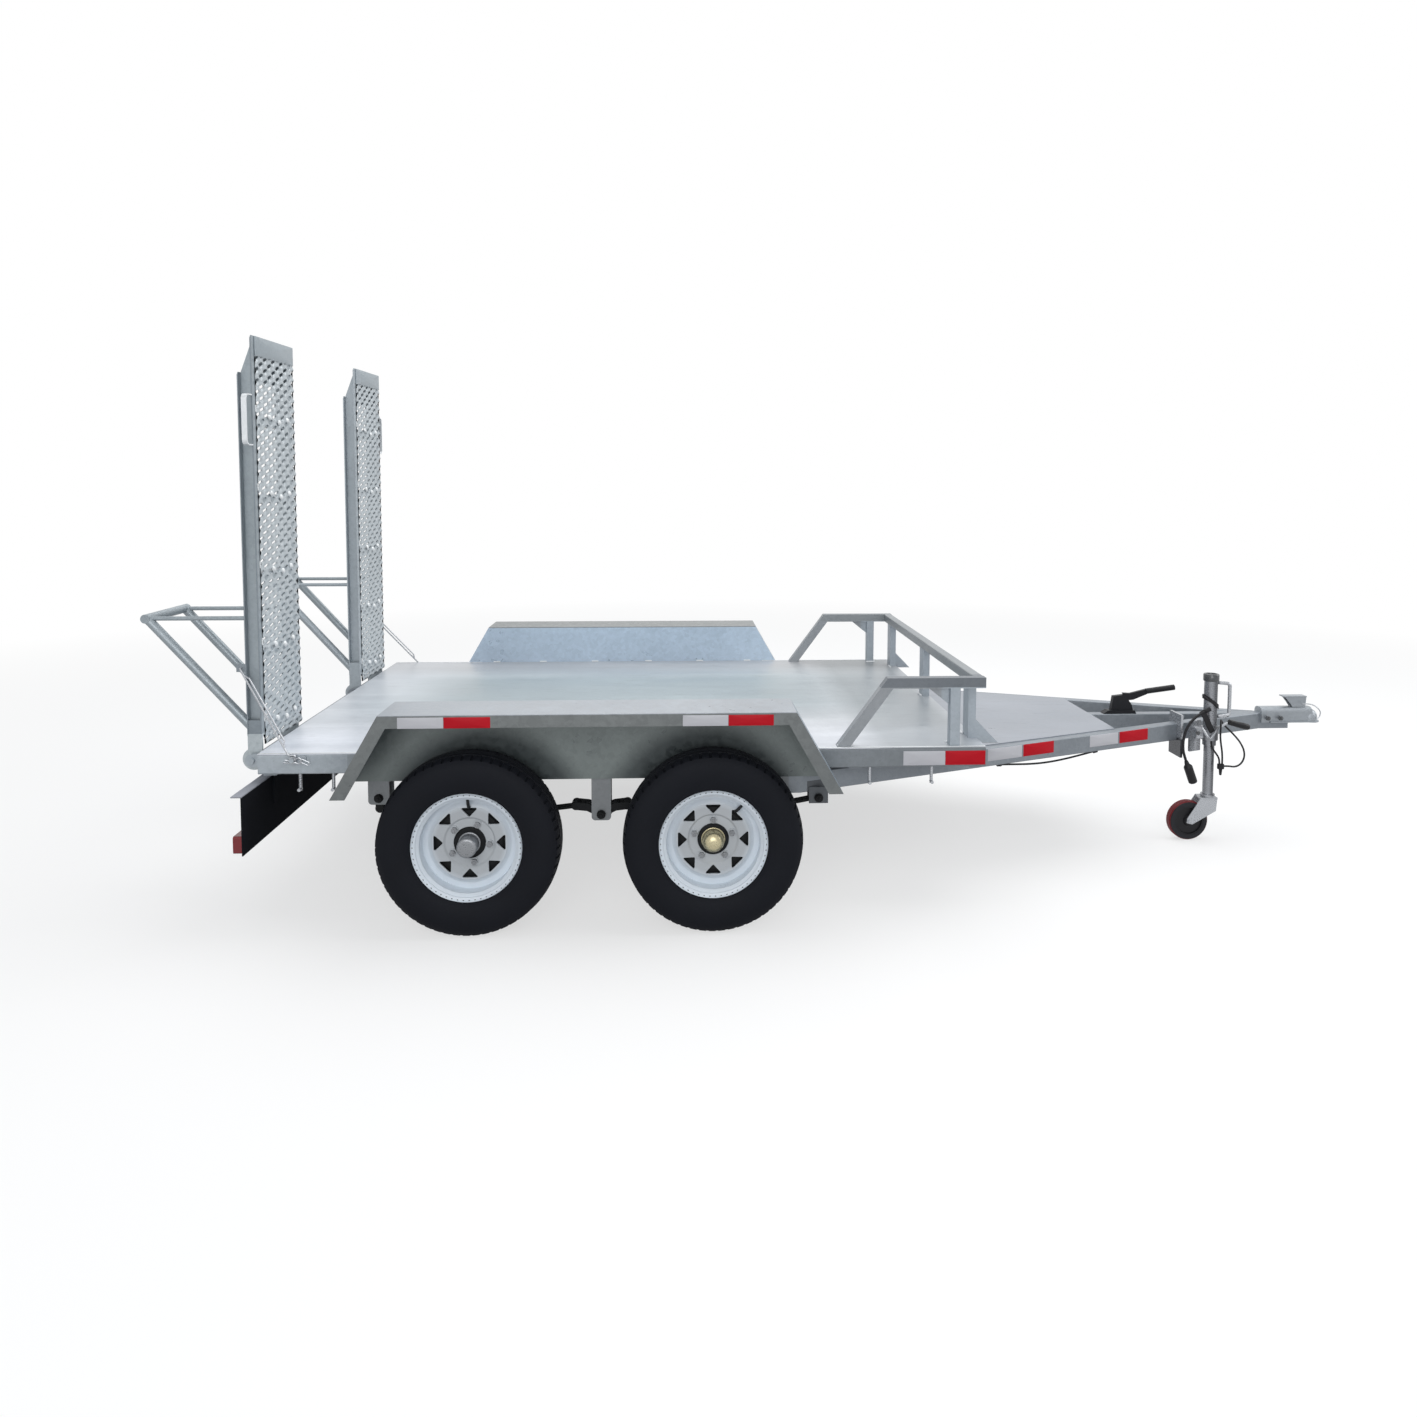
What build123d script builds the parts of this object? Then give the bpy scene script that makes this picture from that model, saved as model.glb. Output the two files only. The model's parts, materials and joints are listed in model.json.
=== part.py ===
from build123d import *
import os
from math import atan2, cos, degrees, hypot, radians, sin, tan

# Tandem-axle equipment trailer with a flat steel deck, two stand-up loading ramps and a jockey wheel.
# Millimetres. +X points forward to the coupling, +Y to the left, +Z up, and the ground is Z = 0.
# X is measured from the middle of the axle pair, and every piece is moved to the trailer's own
# middle when it is written. The left ramp's frame, face and prop are copies of the right ramp's. Other
# pieces of the left side are mirror images of the right side's.

# ---- driving dimensions ----
# deck and its frame
deck_front = 1466
deck_rear = 1221
deck_half_width = 932
deck_top = 617
deck_plate = 4
deck_sheet_joint = 880
side_rail_width = 50
side_rail_depth = 72
cross_member_width = 50
cross_member_depth = 90
cross_member_count = 7
front_bay = 486
bar_corner = 5
tie_hook_places = (-1076, -956, 1027, 1263)
tie_hook_radius = 6
tie_hook_drop = 66
tie_hook_inset = 18

# axles, wheels and springs
axle_spacing = 868
tyre_diameter = 650
tyre_width = 185
tyre_to_deck = 29
tyre_to_guard = 15
rim_flange_diameter = 390
rim_seat_diameter = 356
rim_width = 140
rim_disc_out = 12
rim_disc_plate = 6
rim_window_count = 8
rim_window_foot = 93
rim_window_top = 127
rim_window_width = 64
rim_window_corner = 4
rim_centre_hole = 57
hub_cap_radius = 34
hub_cap_out = 66
drum_radius = 115
drum_depth = 60
axle_beam = 50
spindle_radius = 22
spindle_end_in = -40
spring_width = 45
spring_centre_in = 37
leaf_thickness = 8
leaf_count = 4
hanger_spacing = 812
hanger_shift = 22
hanger_pin_radius = 9
hanger_cheek = 6
hanger_corner = 14
shackle_plate = 5
spring_eye_radius = 17
rocker_link = 45
rocker_reach = 95
rear_pin_height = 447
front_pin_height = 427
rocker_pin_height = 375
spring_inner_eye_height = 405

# ramp hinges behind the deck
hinge_back = 63
hinge_drop = 52
hinge_shaft_radius = 12
hinge_lug_radius = 42
hinge_lug_plate = 10
hinge_lug_inset = 2
hinge_lug_lap = 60
hinge_bracket_radius = 24
hinge_bracket_plate = 12
hinge_bracket_gap = 12
hinge_shaft_beyond = 33

# mudguards
guard_top = 806
guard_bottom = 512
guard_top_half_length = 724
guard_bottom_half_length = 892
guard_lip = 45
guard_sheet = 4

# headboard
headboard_top = 876
headboard_bar = 40
headboard_inset = 13
headboard_level = 373
headboard_reach = 563
side_post_setback = 136
post_width = 75
post_depth = 30
post_setback = 5
corner_post_out = 805
foot_gusset_height = 73
foot_gusset_reach = 90
foot_gusset_drop = 20
corner_gusset_length = 80
corner_gusset_height = 65
gusset_plate = 6

# drawbar
drawbar_bar_width = 50
drawbar_bar_depth = 75
drawbar_rear = 690
drawbar_bend = 774
drawbar_meet = 3040
drawbar_wall = 4
centre_rail_front = 3177
front_plate_front = 2222
front_plate_strip = 38

# coupling for a 50 mm ball
ball_socket_radius = 25.4
socket_x = 3290
socket_wall = 12
socket_depth = 22
coupling_bottom = 478
coupling_rise = 25
coupling_flange = 5
lever_rise = 52
lever_reach = 133
lever_length = 110
lever_half_width = 21
handbrake_x = 2290
handbrake_grip_radius = 13
coupling_cheek = 7
coupling_lip = 8

# jockey wheel
jockey_x = 2690
jockey_plate_gap = 12.6
jockey_outer_radius = 28.5
jockey_inner_radius = 22.5
jockey_tube_top = 735
jockey_tube_bottom = 430
jockey_leg_bottom = 196
jockey_wheel_radius = 88
jockey_wheel_width = 45
jockey_trail = 92
jockey_pin_radius = 8
jockey_leg_overlap = 190
jockey_cap_plate = 4
jockey_cap_height = 12
jockey_cap_lip = 2
jockey_foot_lip = 8
jockey_tyre_depth = 22
jockey_boss_radius = 20
jockey_web_recess = 8
fork_crown = 10
fork_side_gap = 3
fork_plate = 5
fork_back = 42
fork_front = 32
fork_shoulder = 62
fork_pin_stick_out = 4
clamp_bottom = 455
clamp_top = 512
clamp_wall = 8
clamp_arm_lap = 18
clamp_arm_out = 12
clamp_arm_half_height = 22
clamp_stem_length = 56
clamp_stem_rise = 50
clamp_stem_radius = 6
clamp_grip_length = 88
clamp_grip_drop = -26
clamp_grip_radius = 12
head_plate_x = 2545
head_plate_thickness = 10
head_plate_out = 262
head_plate_in = 150
head_plate_bottom = 378
head_plate_top = 570
side_plate_x = 2643
side_plate_size = (66, 10, 140)
side_plate_top = 530
crank_reach = 58
crank_drop = 150
crank_radius = 8
crank_bend = 14
crank_below_top = 23
crank_slant = 6

# leads at the drawbar; their routes are lists of (x, y, z) points
rail_cable_diameter = 8
rail_cable_sag = [(1640, 7), (1695, 13), (1765, 21), (1835, 25.5), (1905, 25), (1975, 20.5), (2045, 13.5),
                  (2105, 7)]
lead_diameter = 12
lead_route = [(2648, -275, 590), (2620, -276, 577), (2592, -277, 555), (2569, -278, 526), (2555, -278, 492),
              (2549, -278, 456), (2550, -277, 421), (2556, -276, 395), (2567, -275, 366)]
plug_length = 105
plug_radius = 19
breakaway_diameter = 8
breakaway_line_route = [(2684, -267.5, 455), (2684, -267.5, 434), (2692, -271, 414), (2706, -275, 395),
                        (2718, -277, 374), (2718, -277, 352)]
breakaway_loop_route = [(2731, -277, 352), (2731, -277, 380), (2728.5, -277, 410), (2723.5, -276, 440),
                        (2720, -275.5, 467), (2719.5, -275, 491), (2721.5, -272.5, 514), (2727, -262, 534),
                        (2735.5, -244.5, 543), (2746.5, -228, 537.5), (2758.5, -219.5, 521.5),
                        (2775, -217.5, 504.5), (2792, -217.5, 489), (2810, -218.5, 471), (2829, -221, 450),
                        (2844, -226, 427), (2853, -234, 402), (2851, -244, 376), (2836, -255, 353),
                        (2812, -266, 340), (2787, -274, 337), (2762, -277, 342), (2738, -277, 342)]
ferrule_top = 352
ferrule_bottom = 302

# loading ramps, folded up
ramp_length = 1576
ramp_width = 406
ramp_inner_edge = 401
ramp_depth = 58
ramp_front_offset = 36.5
ramp_foot_lift = 87
ramp_tread_foot_lift = 49
ramp_tip_slope = 145
ramp_channel_flange = 30
ramp_channel_wall = 4
ramp_tread = 5
ramp_tread_inset = 30
ramp_tread_overhang = 26
ramp_rung_count = 5
ramp_rung_spacing = 290
ramp_rung_height = 30
ramp_rung_inset = 8
ramp_leg_back = 398.5
ramp_leg_up = 526
ramp_leg_radius = 17
ramp_leg_foot_lift = 10
ramp_brace_radius = 8
ramp_leg_half_width = 167
ramp_handle_top = 1926
ramp_handle_bottom = 1738
ramp_handle_width = 18
ramp_handle_strap = 5
ramp_handle_out = 55
ramp_handle_lap = 8

# stays that hold the ramps up, hooked over a pin on each side rail
stay_radius = 3.5
stay_strand_radius = 3
stay_eye = (-1322, 910)
stay_pin = (-1090, 597)
stay_pin_radius = 5
stay_pin_length = 30
stay_plane_out = 12
stay_lug_depth = 35

# light board
light_board_x = -1212
light_board_half_width = 1100
light_board_bottom = 298
light_board_top = 510
light_board_sheet = 4
light_board_flange = 38
tail_lamp_size = (30, 150, 62)

# clearances
pin_clearance = 0.06
loose_clearance = 0.5
side_clearance = 1.0
weld_gap = 0.5
stay_clearance = 1.5

# ---- worked-out places ----
wheel_centre_height = tyre_diameter / 2
wheel_y = deck_half_width + tyre_to_deck + tyre_width / 2
guard_outer = deck_half_width + tyre_to_deck + tyre_width + tyre_to_guard
front_axle_x = axle_spacing / 2
frame_bottom = deck_top - deck_plate - side_rail_depth
jockey_outer_edge = jockey_x + jockey_outer_radius
drawbar_top = deck_top - deck_plate - cross_member_depth
drawbar_bottom = drawbar_top - drawbar_bar_depth
spring_y = deck_half_width - spring_centre_in
rail_inner = deck_half_width - side_rail_width
hinge_z = deck_top - hinge_drop
hinge_x = -deck_rear - hinge_back
ramp_front = hinge_x + ramp_front_offset
ramp_back = ramp_front - ramp_depth
ramp_outer_edge = ramp_inner_edge + ramp_width
ramp_frame_edge = ramp_outer_edge - ramp_tread_overhang
ramp_spread = ramp_outer_edge + ramp_inner_edge
ramp_foot = hinge_z + ramp_foot_lift
ramp_tip = hinge_z + ramp_length
drawbar_slope = (deck_half_width - drawbar_bar_width / 2) / (drawbar_meet - drawbar_bend)
side_plate_out = deck_half_width - drawbar_slope * (side_plate_x - drawbar_bend) + side_plate_size[1]
jockey_out = side_plate_out + jockey_plate_gap + jockey_outer_radius
trailer_front = socket_x + ball_socket_radius + socket_wall + coupling_lip
trailer_rear = hinge_x - ramp_leg_back - ramp_leg_radius
x_shift = -(trailer_front + trailer_rear) / 2


def block(x_low, x_high, y_low, y_high, z_low, z_high):
    """A box given by its two ends along each axis."""
    size = (x_high - x_low, y_high - y_low, z_high - z_low)
    centre = ((x_low + x_high) / 2, (y_low + y_high) / 2, (z_low + z_high) / 2)
    return Pos(*centre) * Box(*size)


def rounded_block(x_low, x_high, y_low, y_high, z_low, z_high, along, radius=bar_corner):
    """A bar with its four long edges rounded, running along the named axis."""
    bar = block(x_low, x_high, y_low, y_high, z_low, z_high)
    return fillet(bar.edges().filter_by(along), radius)


def side_plate(points, y_low, y_high):
    """A plate with an outline in the XZ plane, between two Y planes."""
    outline = make_face(Polyline([Vector(x, y_low, z) for x, z in points], close=True))
    return extrude(outline, y_high - y_low, dir=(0, 1, 0))


def flat_plate(points, z_low, z_high):
    """A plate with an outline in the XY plane, between two heights."""
    outline = make_face(Polyline([Vector(x, y, z_low) for x, y in points], close=True))
    return extrude(outline, z_high - z_low, dir=(0, 0, 1))


def rod(start, end, radius):
    """A round bar from one point to another."""
    start = Vector(*start)
    run = Vector(*end) - start
    plane = Plane(origin=start, z_dir=run.normalized())
    return plane * Cylinder(radius, run.length, align=(Align.CENTER, Align.CENTER, Align.MIN))


def lateral_rod(x, z, y_low, y_high, radius):
    """A round bar along Y."""
    return rod((x, y_low, z), (x, y_high, z), radius)


def turned(profile, x, z):
    """A solid turned about the line along Y through (x, z), from (radius, y) points."""
    outline = make_face(Polyline([Vector(radius, y, 0) for radius, y in profile], close=True))
    return Pos(x, 0, z) * revolve(outline, Axis.Y)


def to_left(shape):
    """The mirror image on the left side."""
    return mirror(shape, about=Plane.XZ)


def both_sides(shape):
    """A right-side piece with its left-side twin, in one node."""
    return Compound(children=[shape, to_left(shape)])


# ---- deck and chassis ----

def deck_plate_piece():
    """The main floor sheet, from the rear edge to the headboard's feet."""
    return block(-deck_rear, deck_sheet_joint, -deck_half_width, deck_half_width,
                 deck_top - deck_plate, deck_top)


def front_deck_plates():
    """The floor sheet under the headboard and the lower sheet between the drawbar rails."""
    upper = block(deck_sheet_joint, deck_front, -deck_half_width, deck_half_width,
                  deck_top - deck_plate, deck_top)
    strip = front_plate_strip * hypot(1, drawbar_slope)
    rear_half = drawbar_outer_y(deck_front) - strip
    front_half = drawbar_outer_y(front_plate_front) - strip
    rear_edge = deck_front + weld_gap
    points = [(rear_edge, -rear_half), (front_plate_front, -front_half),
              (front_plate_front, front_half), (rear_edge, rear_half)]
    return Compound(children=[upper, flat_plate(points, drawbar_top, drawbar_top + deck_plate)])


def side_rail():
    return rounded_block(-deck_rear, deck_front, -deck_half_width, -rail_inner,
                         frame_bottom, deck_top - deck_plate, Axis.X)


def cross_member_places():
    """X of each cross member's middle, from the rear one to the front one."""
    rear = -deck_rear + cross_member_width / 2
    front = deck_front - cross_member_width / 2
    bay = (deck_front - front_bay - rear) / (cross_member_count - 2)
    middle = [rear + bay * step for step in range(cross_member_count - 1)]
    return middle + [front]


def cross_members():
    bars = []
    for x in cross_member_places():
        bar = rounded_block(x - cross_member_width / 2, x + cross_member_width / 2, -rail_inner, rail_inner,
                            drawbar_top, deck_top - deck_plate, Axis.Y)
        bars.append(bar)
    return Compound(children=bars)


def ramp_lug_edges():
    """Y of the low side of each hinge lug of the right ramp: in its outer and its inner channel."""
    inner_edge = -ramp_inner_edge - ramp_tread_overhang
    return (-ramp_outer_edge + hinge_lug_inset, inner_edge - hinge_lug_inset - hinge_lug_plate)


def hinge_brackets():
    """Y of each bracket's low side, beside the right ramp's lugs and then beside the left ramp's."""
    outer, inner = ramp_lug_edges()
    beside = [outer - hinge_bracket_gap - hinge_bracket_plate,
              outer + hinge_lug_plate + hinge_bracket_gap,
              inner + hinge_lug_plate + hinge_bracket_gap]
    return beside + [low + ramp_spread for low in beside]


def ramp_hinges():
    """The shaft that the ramps' lugs turn on, on brackets behind the rear cross member."""
    end = ramp_outer_edge + hinge_shaft_beyond
    hinges = lateral_rod(hinge_x, hinge_z, -end, end, hinge_shaft_radius)
    for low in hinge_brackets():
        high = low + hinge_bracket_plate
        hinges += lateral_rod(hinge_x, hinge_z, low, high, hinge_bracket_radius)
        hinges += block(hinge_x, -deck_rear, low, high, hinge_z - hinge_bracket_radius,
                        hinge_z + hinge_bracket_radius)
    return hinges


def tie_hooks():
    """Rope hooks under the side rails, each turned out at its foot."""
    hooks = []
    y = -deck_half_width + tie_hook_inset
    foot = frame_bottom - tie_hook_drop
    for x in tie_hook_places:
        hook = rod((x, y, foot), (x, y, frame_bottom), tie_hook_radius)
        hook += rod((x, y + tie_hook_radius, foot + tie_hook_radius),
                    (x, y - tie_hook_inset, foot + tie_hook_radius),
                    tie_hook_radius)
        hooks.append(hook)
    return Compound(children=hooks + [to_left(hook) for hook in hooks])


# ---- mudguards ----

def guard_outline(inset):
    """The guard's side outline, moved in by the inset along its top and its two sloping ends."""
    run = guard_bottom_half_length - guard_top_half_length
    rise = guard_top - guard_bottom
    slant = hypot(run, rise)
    top = guard_top - inset
    sideways = inset * slant / rise
    top_half = guard_top_half_length + run * inset / rise - sideways
    bottom_half = guard_bottom_half_length - sideways
    return [(-bottom_half, guard_bottom), (-top_half, top), (top_half, top), (bottom_half, guard_bottom)]


def open_below(points):
    """The same outline carried 1 mm below the guard, so that a cut leaves its foot open."""
    return points + [(points[-1][0], guard_bottom - 1), (points[0][0], guard_bottom - 1)]


def right_mudguard():
    inner = -deck_half_width
    outer = -guard_outer
    whole = side_plate(guard_outline(0), outer, inner)
    arch = side_plate(open_below(guard_outline(guard_sheet)), outer + guard_sheet, inner - guard_sheet)
    lip_gap = side_plate(open_below(guard_outline(guard_lip)), outer - 1, outer + guard_sheet + 1)
    return whole - arch - lip_gap


# ---- headboard ----

def headboard_outer():
    return deck_half_width - headboard_inset


def headboard_side():
    """The side rail and the leg that slopes down to the deck."""
    low = headboard_top - headboard_bar
    rise = low - deck_top
    foot = deck_front - headboard_reach
    bend = deck_front - headboard_level
    lean = (bend - foot) / (headboard_top - deck_top)
    foot_width = headboard_bar * hypot(1, lean)
    under = bend + foot_width - lean * headboard_bar
    points = [(foot, deck_top), (bend, headboard_top), (deck_front, headboard_top),
              (deck_front, low), (under, low), (under - lean * rise, deck_top)]
    outer = -headboard_outer()
    return side_plate(points, outer, outer + headboard_bar)


def headboard_top_rail():
    side = headboard_outer() - headboard_bar
    return rounded_block(deck_front - headboard_bar, deck_front, -side, side,
                         headboard_top - headboard_bar, headboard_top, Axis.Y)


def headboard_posts():
    """Side posts and corner posts with their gussets, and the middle post."""
    low = headboard_top - headboard_bar
    outer = -headboard_outer()
    side_post_rear = deck_front - side_post_setback
    side_post = rounded_block(side_post_rear, side_post_rear + headboard_bar, outer, outer + headboard_bar,
                              deck_top, low, Axis.Z)
    corner_gusset_y = outer + (headboard_bar - gusset_plate) / 2
    side_post += side_plate([(side_post_rear - corner_gusset_length, low), (side_post_rear + 1, low),
                             (side_post_rear + 1, low - corner_gusset_height)],
                            corner_gusset_y, corner_gusset_y + gusset_plate)
    post_front = deck_front - post_setback
    post_rear = post_front - post_depth
    corner = block(post_rear, post_front, -corner_post_out, -corner_post_out + post_width, deck_top, low)
    gusset_foot = deck_top - foot_gusset_drop
    corner += side_plate([(post_front, deck_top + foot_gusset_height),
                          (post_front + foot_gusset_reach, gusset_foot),
                          (deck_front, gusset_foot), (deck_front, deck_top), (post_front, deck_top)],
                         -corner_post_out, -corner_post_out + gusset_plate)
    middle = block(post_rear, post_front, -post_width / 2, post_width / 2, deck_top, low)
    return Compound(children=[side_post, to_left(side_post), corner, to_left(corner), middle])


# ---- drawbar ----

def drawbar_outer_y(x):
    """How far out the drawbar's outer face is at this X."""
    return deck_half_width - drawbar_slope * (x - drawbar_bend)


def drawbar_band_width():
    """The rail's width measured along Y, across its slant."""
    return drawbar_bar_width * hypot(1, drawbar_slope)


def drawbar_x_at(y):
    """The X where the drawbar's outer face reaches this Y."""
    return drawbar_bend + (deck_half_width - y) / drawbar_slope


def right_drawbar_rail():
    """The slanting rail, which bends to run back under the side rail."""
    band = drawbar_band_width()
    half = drawbar_bar_width / 2
    rear_in = deck_half_width - drawbar_bar_width
    points = [(drawbar_rear, -deck_half_width), (drawbar_bend, -deck_half_width),
              (drawbar_x_at(half), -half), (drawbar_x_at(half + band), -half),
              (drawbar_x_at(rear_in + band), -rear_in), (drawbar_rear, -rear_in)]
    rail = flat_plate(points, drawbar_bottom, drawbar_top)
    along = Vector(1, drawbar_slope, 0).normalized()
    long_edges = rail.edges().filter_by(lambda edge: abs((edge % 0.5).dot(along)) > 0.9999)
    return fillet(long_edges, bar_corner)


def centre_rail():
    half = drawbar_bar_width / 2
    rear = cross_member_places()[-2] - cross_member_width / 2
    rail = rounded_block(rear, centre_rail_front, -half, half, drawbar_bottom, drawbar_top, Axis.X)
    bore = block(drawbar_meet, centre_rail_front + 1, -half + drawbar_wall, half - drawbar_wall,
                 drawbar_bottom + drawbar_wall, drawbar_top - drawbar_wall)
    return rail - bore


# ---- coupling ----

def coupling_body():
    """A pressed housing over the centre rail's end, with a flange along its foot and a ball socket."""
    half = drawbar_bar_width / 2
    outer = half + coupling_cheek
    rear = drawbar_meet + 5
    top = drawbar_top + coupling_rise
    flange_top = coupling_bottom + coupling_flange
    housing = block(rear, socket_x, -outer, outer, coupling_bottom, top)
    housing = fillet(housing.edges().filter_by(Axis.X).group_by(Axis.Z)[-1], coupling_rise - 3)
    housing += block(rear + 40, socket_x, -outer - coupling_lip, outer + coupling_lip, coupling_bottom, flange_top)
    housing -= block(drawbar_meet, centre_rail_front, -half, half, coupling_bottom - 1, drawbar_top)
    socket_outer = ball_socket_radius + socket_wall
    ball_height = coupling_bottom + socket_depth
    dome = Pos(socket_x, 0, ball_height) * Sphere(socket_outer)
    skirt = rod((socket_x, 0, coupling_bottom), (socket_x, 0, ball_height), socket_outer)
    lip = rod((socket_x, 0, coupling_bottom), (socket_x, 0, flange_top), socket_outer + coupling_lip)
    dome -= block(socket_x - 80, socket_x + 80, -80, 80, coupling_bottom - 80, coupling_bottom)
    body = housing + dome + skirt + lip
    body -= rod((socket_x, 0, coupling_bottom - 1), (socket_x, 0, ball_height), ball_socket_radius)
    body -= Pos(socket_x, 0, ball_height) * Sphere(ball_socket_radius)
    body -= block(centre_rail_front, socket_x - ball_socket_radius - socket_wall - 18, -half, half,
                  coupling_bottom - 1, drawbar_top - 20)
    return body


def coupling_lever():
    """The hand lever, a bent plate on two cheeks, with the latch block between them."""
    base = drawbar_top + coupling_rise
    top = base + lever_rise
    rear = socket_x - lever_reach
    front = rear + lever_length
    plate = block(rear, front, -lever_half_width, lever_half_width, top - 5, top)
    cheek = side_plate([(rear + 8, top - 4), (rear + 32, base + 18), (rear + 44, base), (front - 4, base),
                        (front, top - 4)], lever_half_width - 8, lever_half_width - 3)
    latch = block(rear + 50, front - 6, -lever_half_width + 9, lever_half_width - 9, base, top - 4)
    return plate + cheek + to_left(cheek) + latch


# ---- handbrake ----

def handbrake_base():
    """The lever's foot on the centre rail, and the ratchet housing on it."""
    foot = side_plate([(handbrake_x, drawbar_top), (handbrake_x + 158, drawbar_top),
                       (handbrake_x + 150, drawbar_top + 16), (handbrake_x + 24, drawbar_top + 16)], -20, 20)
    ratchet = side_plate([(handbrake_x + 40, drawbar_top + 15), (handbrake_x + 50, drawbar_top + 82),
                          (handbrake_x + 104, drawbar_top + 88), (handbrake_x + 138, drawbar_top + 42),
                          (handbrake_x + 144, drawbar_top + 15)], -12, 12)
    return foot + ratchet


def handbrake_lever():
    """A tapering arm out of the ratchet, with a round grip."""
    root = handbrake_x + 96
    arm = side_plate([(root, drawbar_top + 96), (root + 36, drawbar_top + 94), (root + 118, drawbar_top + 114),
                      (root + 116, drawbar_top + 90), (root + 52, drawbar_top + 64),
                      (root + 20, drawbar_top + 60)], -8, 8)
    grip = rod((root + 112, 0, drawbar_top + 102), (root + 248, 0, drawbar_top + 120), handbrake_grip_radius)
    return arm + grip - handbrake_base()


# ---- jockey wheel ----

def on_jockey_tube(low, high, radius):
    """An upright cylinder on the jockey tube's axis."""
    return rod((jockey_x, -jockey_out, low), (jockey_x, -jockey_out, high), radius)


def jockey_brackets():
    """A plate across the right drawbar rail, and a plate on the rail's outer face that carries the clamp."""
    head_plate = block(head_plate_x, head_plate_x + head_plate_thickness, -head_plate_out, -head_plate_in,
                       head_plate_bottom, head_plate_top)
    angle = degrees(atan2(drawbar_slope, 1))
    plate = Box(*side_plate_size, align=(Align.CENTER, Align.MAX, Align.MAX))
    plate = Pos(side_plate_x, -drawbar_outer_y(side_plate_x), side_plate_top) * Rot(0, 0, angle) * plate
    return Compound(children=[head_plate - right_drawbar_rail(), plate])


def jockey_outer_tube():
    """The outer tube, bored for the leg, under a cap that is a little wider."""
    tube = on_jockey_tube(jockey_tube_bottom, jockey_tube_top, jockey_outer_radius)
    tube -= on_jockey_tube(jockey_tube_bottom - 1, jockey_tube_top - jockey_cap_plate,
                           jockey_inner_radius + loose_clearance)
    return tube + on_jockey_tube(jockey_tube_top, jockey_tube_top + jockey_cap_height,
                                 jockey_outer_radius + jockey_cap_lip)


def jockey_clamp():
    """The ring that grips the jockey tube, its arm to the side plate, and its handle."""
    middle = (clamp_bottom + clamp_top) / 2
    ring = on_jockey_tube(clamp_bottom, clamp_top, jockey_outer_radius + clamp_wall)
    arm_rear = side_plate_x - clamp_arm_lap
    arm = block(arm_rear, jockey_x - clamp_wall, -jockey_out - clamp_arm_out, -drawbar_outer_y(arm_rear) - 4,
                middle - clamp_arm_half_height, middle + clamp_arm_half_height)
    handle_y = -jockey_out - clamp_wall
    knee = (jockey_outer_edge + clamp_stem_length, handle_y, middle + clamp_stem_rise)
    stem = rod((jockey_outer_edge + 1, handle_y, middle + clamp_arm_half_height), knee, clamp_stem_radius)
    grip_end = (knee[0] + clamp_grip_length, handle_y, middle - clamp_grip_drop)
    clamp = ring + arm + stem + rod(knee, grip_end, clamp_grip_radius)
    return clamp - on_jockey_tube(jockey_tube_bottom, jockey_tube_top, jockey_outer_radius) - jockey_brackets()


def jockey_crank():
    """The winding handle, folded down beside the tube."""
    near = jockey_outer_edge + weld_gap
    far = near + crank_reach
    top = jockey_tube_top - crank_below_top
    path = FilletPolyline((near, -jockey_out, top), (far, -jockey_out, top - crank_slant),
                          (far, -jockey_out, top - crank_drop),
                          (near + crank_slant, -jockey_out, top - crank_drop - crank_slant), radius=crank_bend)
    profile = Plane(origin=path @ 0, z_dir=path % 0) * Circle(crank_radius)
    crank = sweep(profile, path=path)
    return crank - on_jockey_tube(jockey_tube_bottom, jockey_tube_top, jockey_outer_radius)


def jockey_leg():
    """The inner tube, which winds up and down in the outer tube, on a round foot."""
    leg = on_jockey_tube(jockey_leg_bottom, jockey_tube_bottom + jockey_leg_overlap, jockey_inner_radius)
    foot_radius = jockey_inner_radius + jockey_foot_lip
    return leg + on_jockey_tube(jockey_leg_bottom, jockey_leg_bottom + fork_crown, foot_radius)


def jockey_fork():
    """The castor fork, which swivels under the leg and trails the wheel."""
    axle_x = jockey_x - jockey_trail
    axle_z = jockey_wheel_radius
    crown_top = jockey_leg_bottom - loose_clearance
    inner = jockey_wheel_width / 2 + fork_side_gap
    outer = inner + fork_plate
    back = jockey_x - fork_back
    front = jockey_x + fork_front
    fork = block(back, front, -jockey_out - outer, -jockey_out + outer, crown_top - fork_crown, crown_top)
    cheek = [(back, crown_top), (front, crown_top), (front - 6, crown_top - fork_shoulder),
             (axle_x + 12, axle_z - 14), (axle_x - 14, axle_z - 8), (axle_x - 12, axle_z + 12)]
    fork += side_plate(cheek, -jockey_out - outer, -jockey_out - inner)
    fork += side_plate(cheek, -jockey_out + inner, -jockey_out + outer)
    pin_end = outer + fork_pin_stick_out
    return fork + lateral_rod(axle_x, axle_z, -jockey_out - pin_end, -jockey_out + pin_end, jockey_pin_radius)


def jockey_tyre():
    """A solid tyre with chamfered shoulders."""
    half = jockey_wheel_width / 2
    radius = jockey_wheel_radius
    inner = radius - jockey_tyre_depth
    profile = [(inner, -half), (radius - 6, -half), (radius, -half + 8), (radius, half - 8),
               (radius - 6, half), (inner, half)]
    return Pos(0, -jockey_out, 0) * turned(profile, jockey_x - jockey_trail, jockey_wheel_radius)


def jockey_hub():
    """The wheel's middle, thinner between its boss and its rim."""
    half = jockey_wheel_width / 2
    bore = jockey_pin_radius + pin_clearance
    boss = jockey_boss_radius
    outer = jockey_wheel_radius - jockey_tyre_depth
    web = half - jockey_web_recess
    profile = [(bore, -half), (boss, -half), (boss + 4, -web), (outer - 8, -web), (outer - 6, -half + 1),
               (outer, -half + 1), (outer, half - 1), (outer - 6, half - 1), (outer - 8, web),
               (boss + 4, web), (boss, half), (bore, half)]
    return Pos(0, -jockey_out, 0) * turned(profile, jockey_x - jockey_trail, jockey_wheel_radius)


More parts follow.
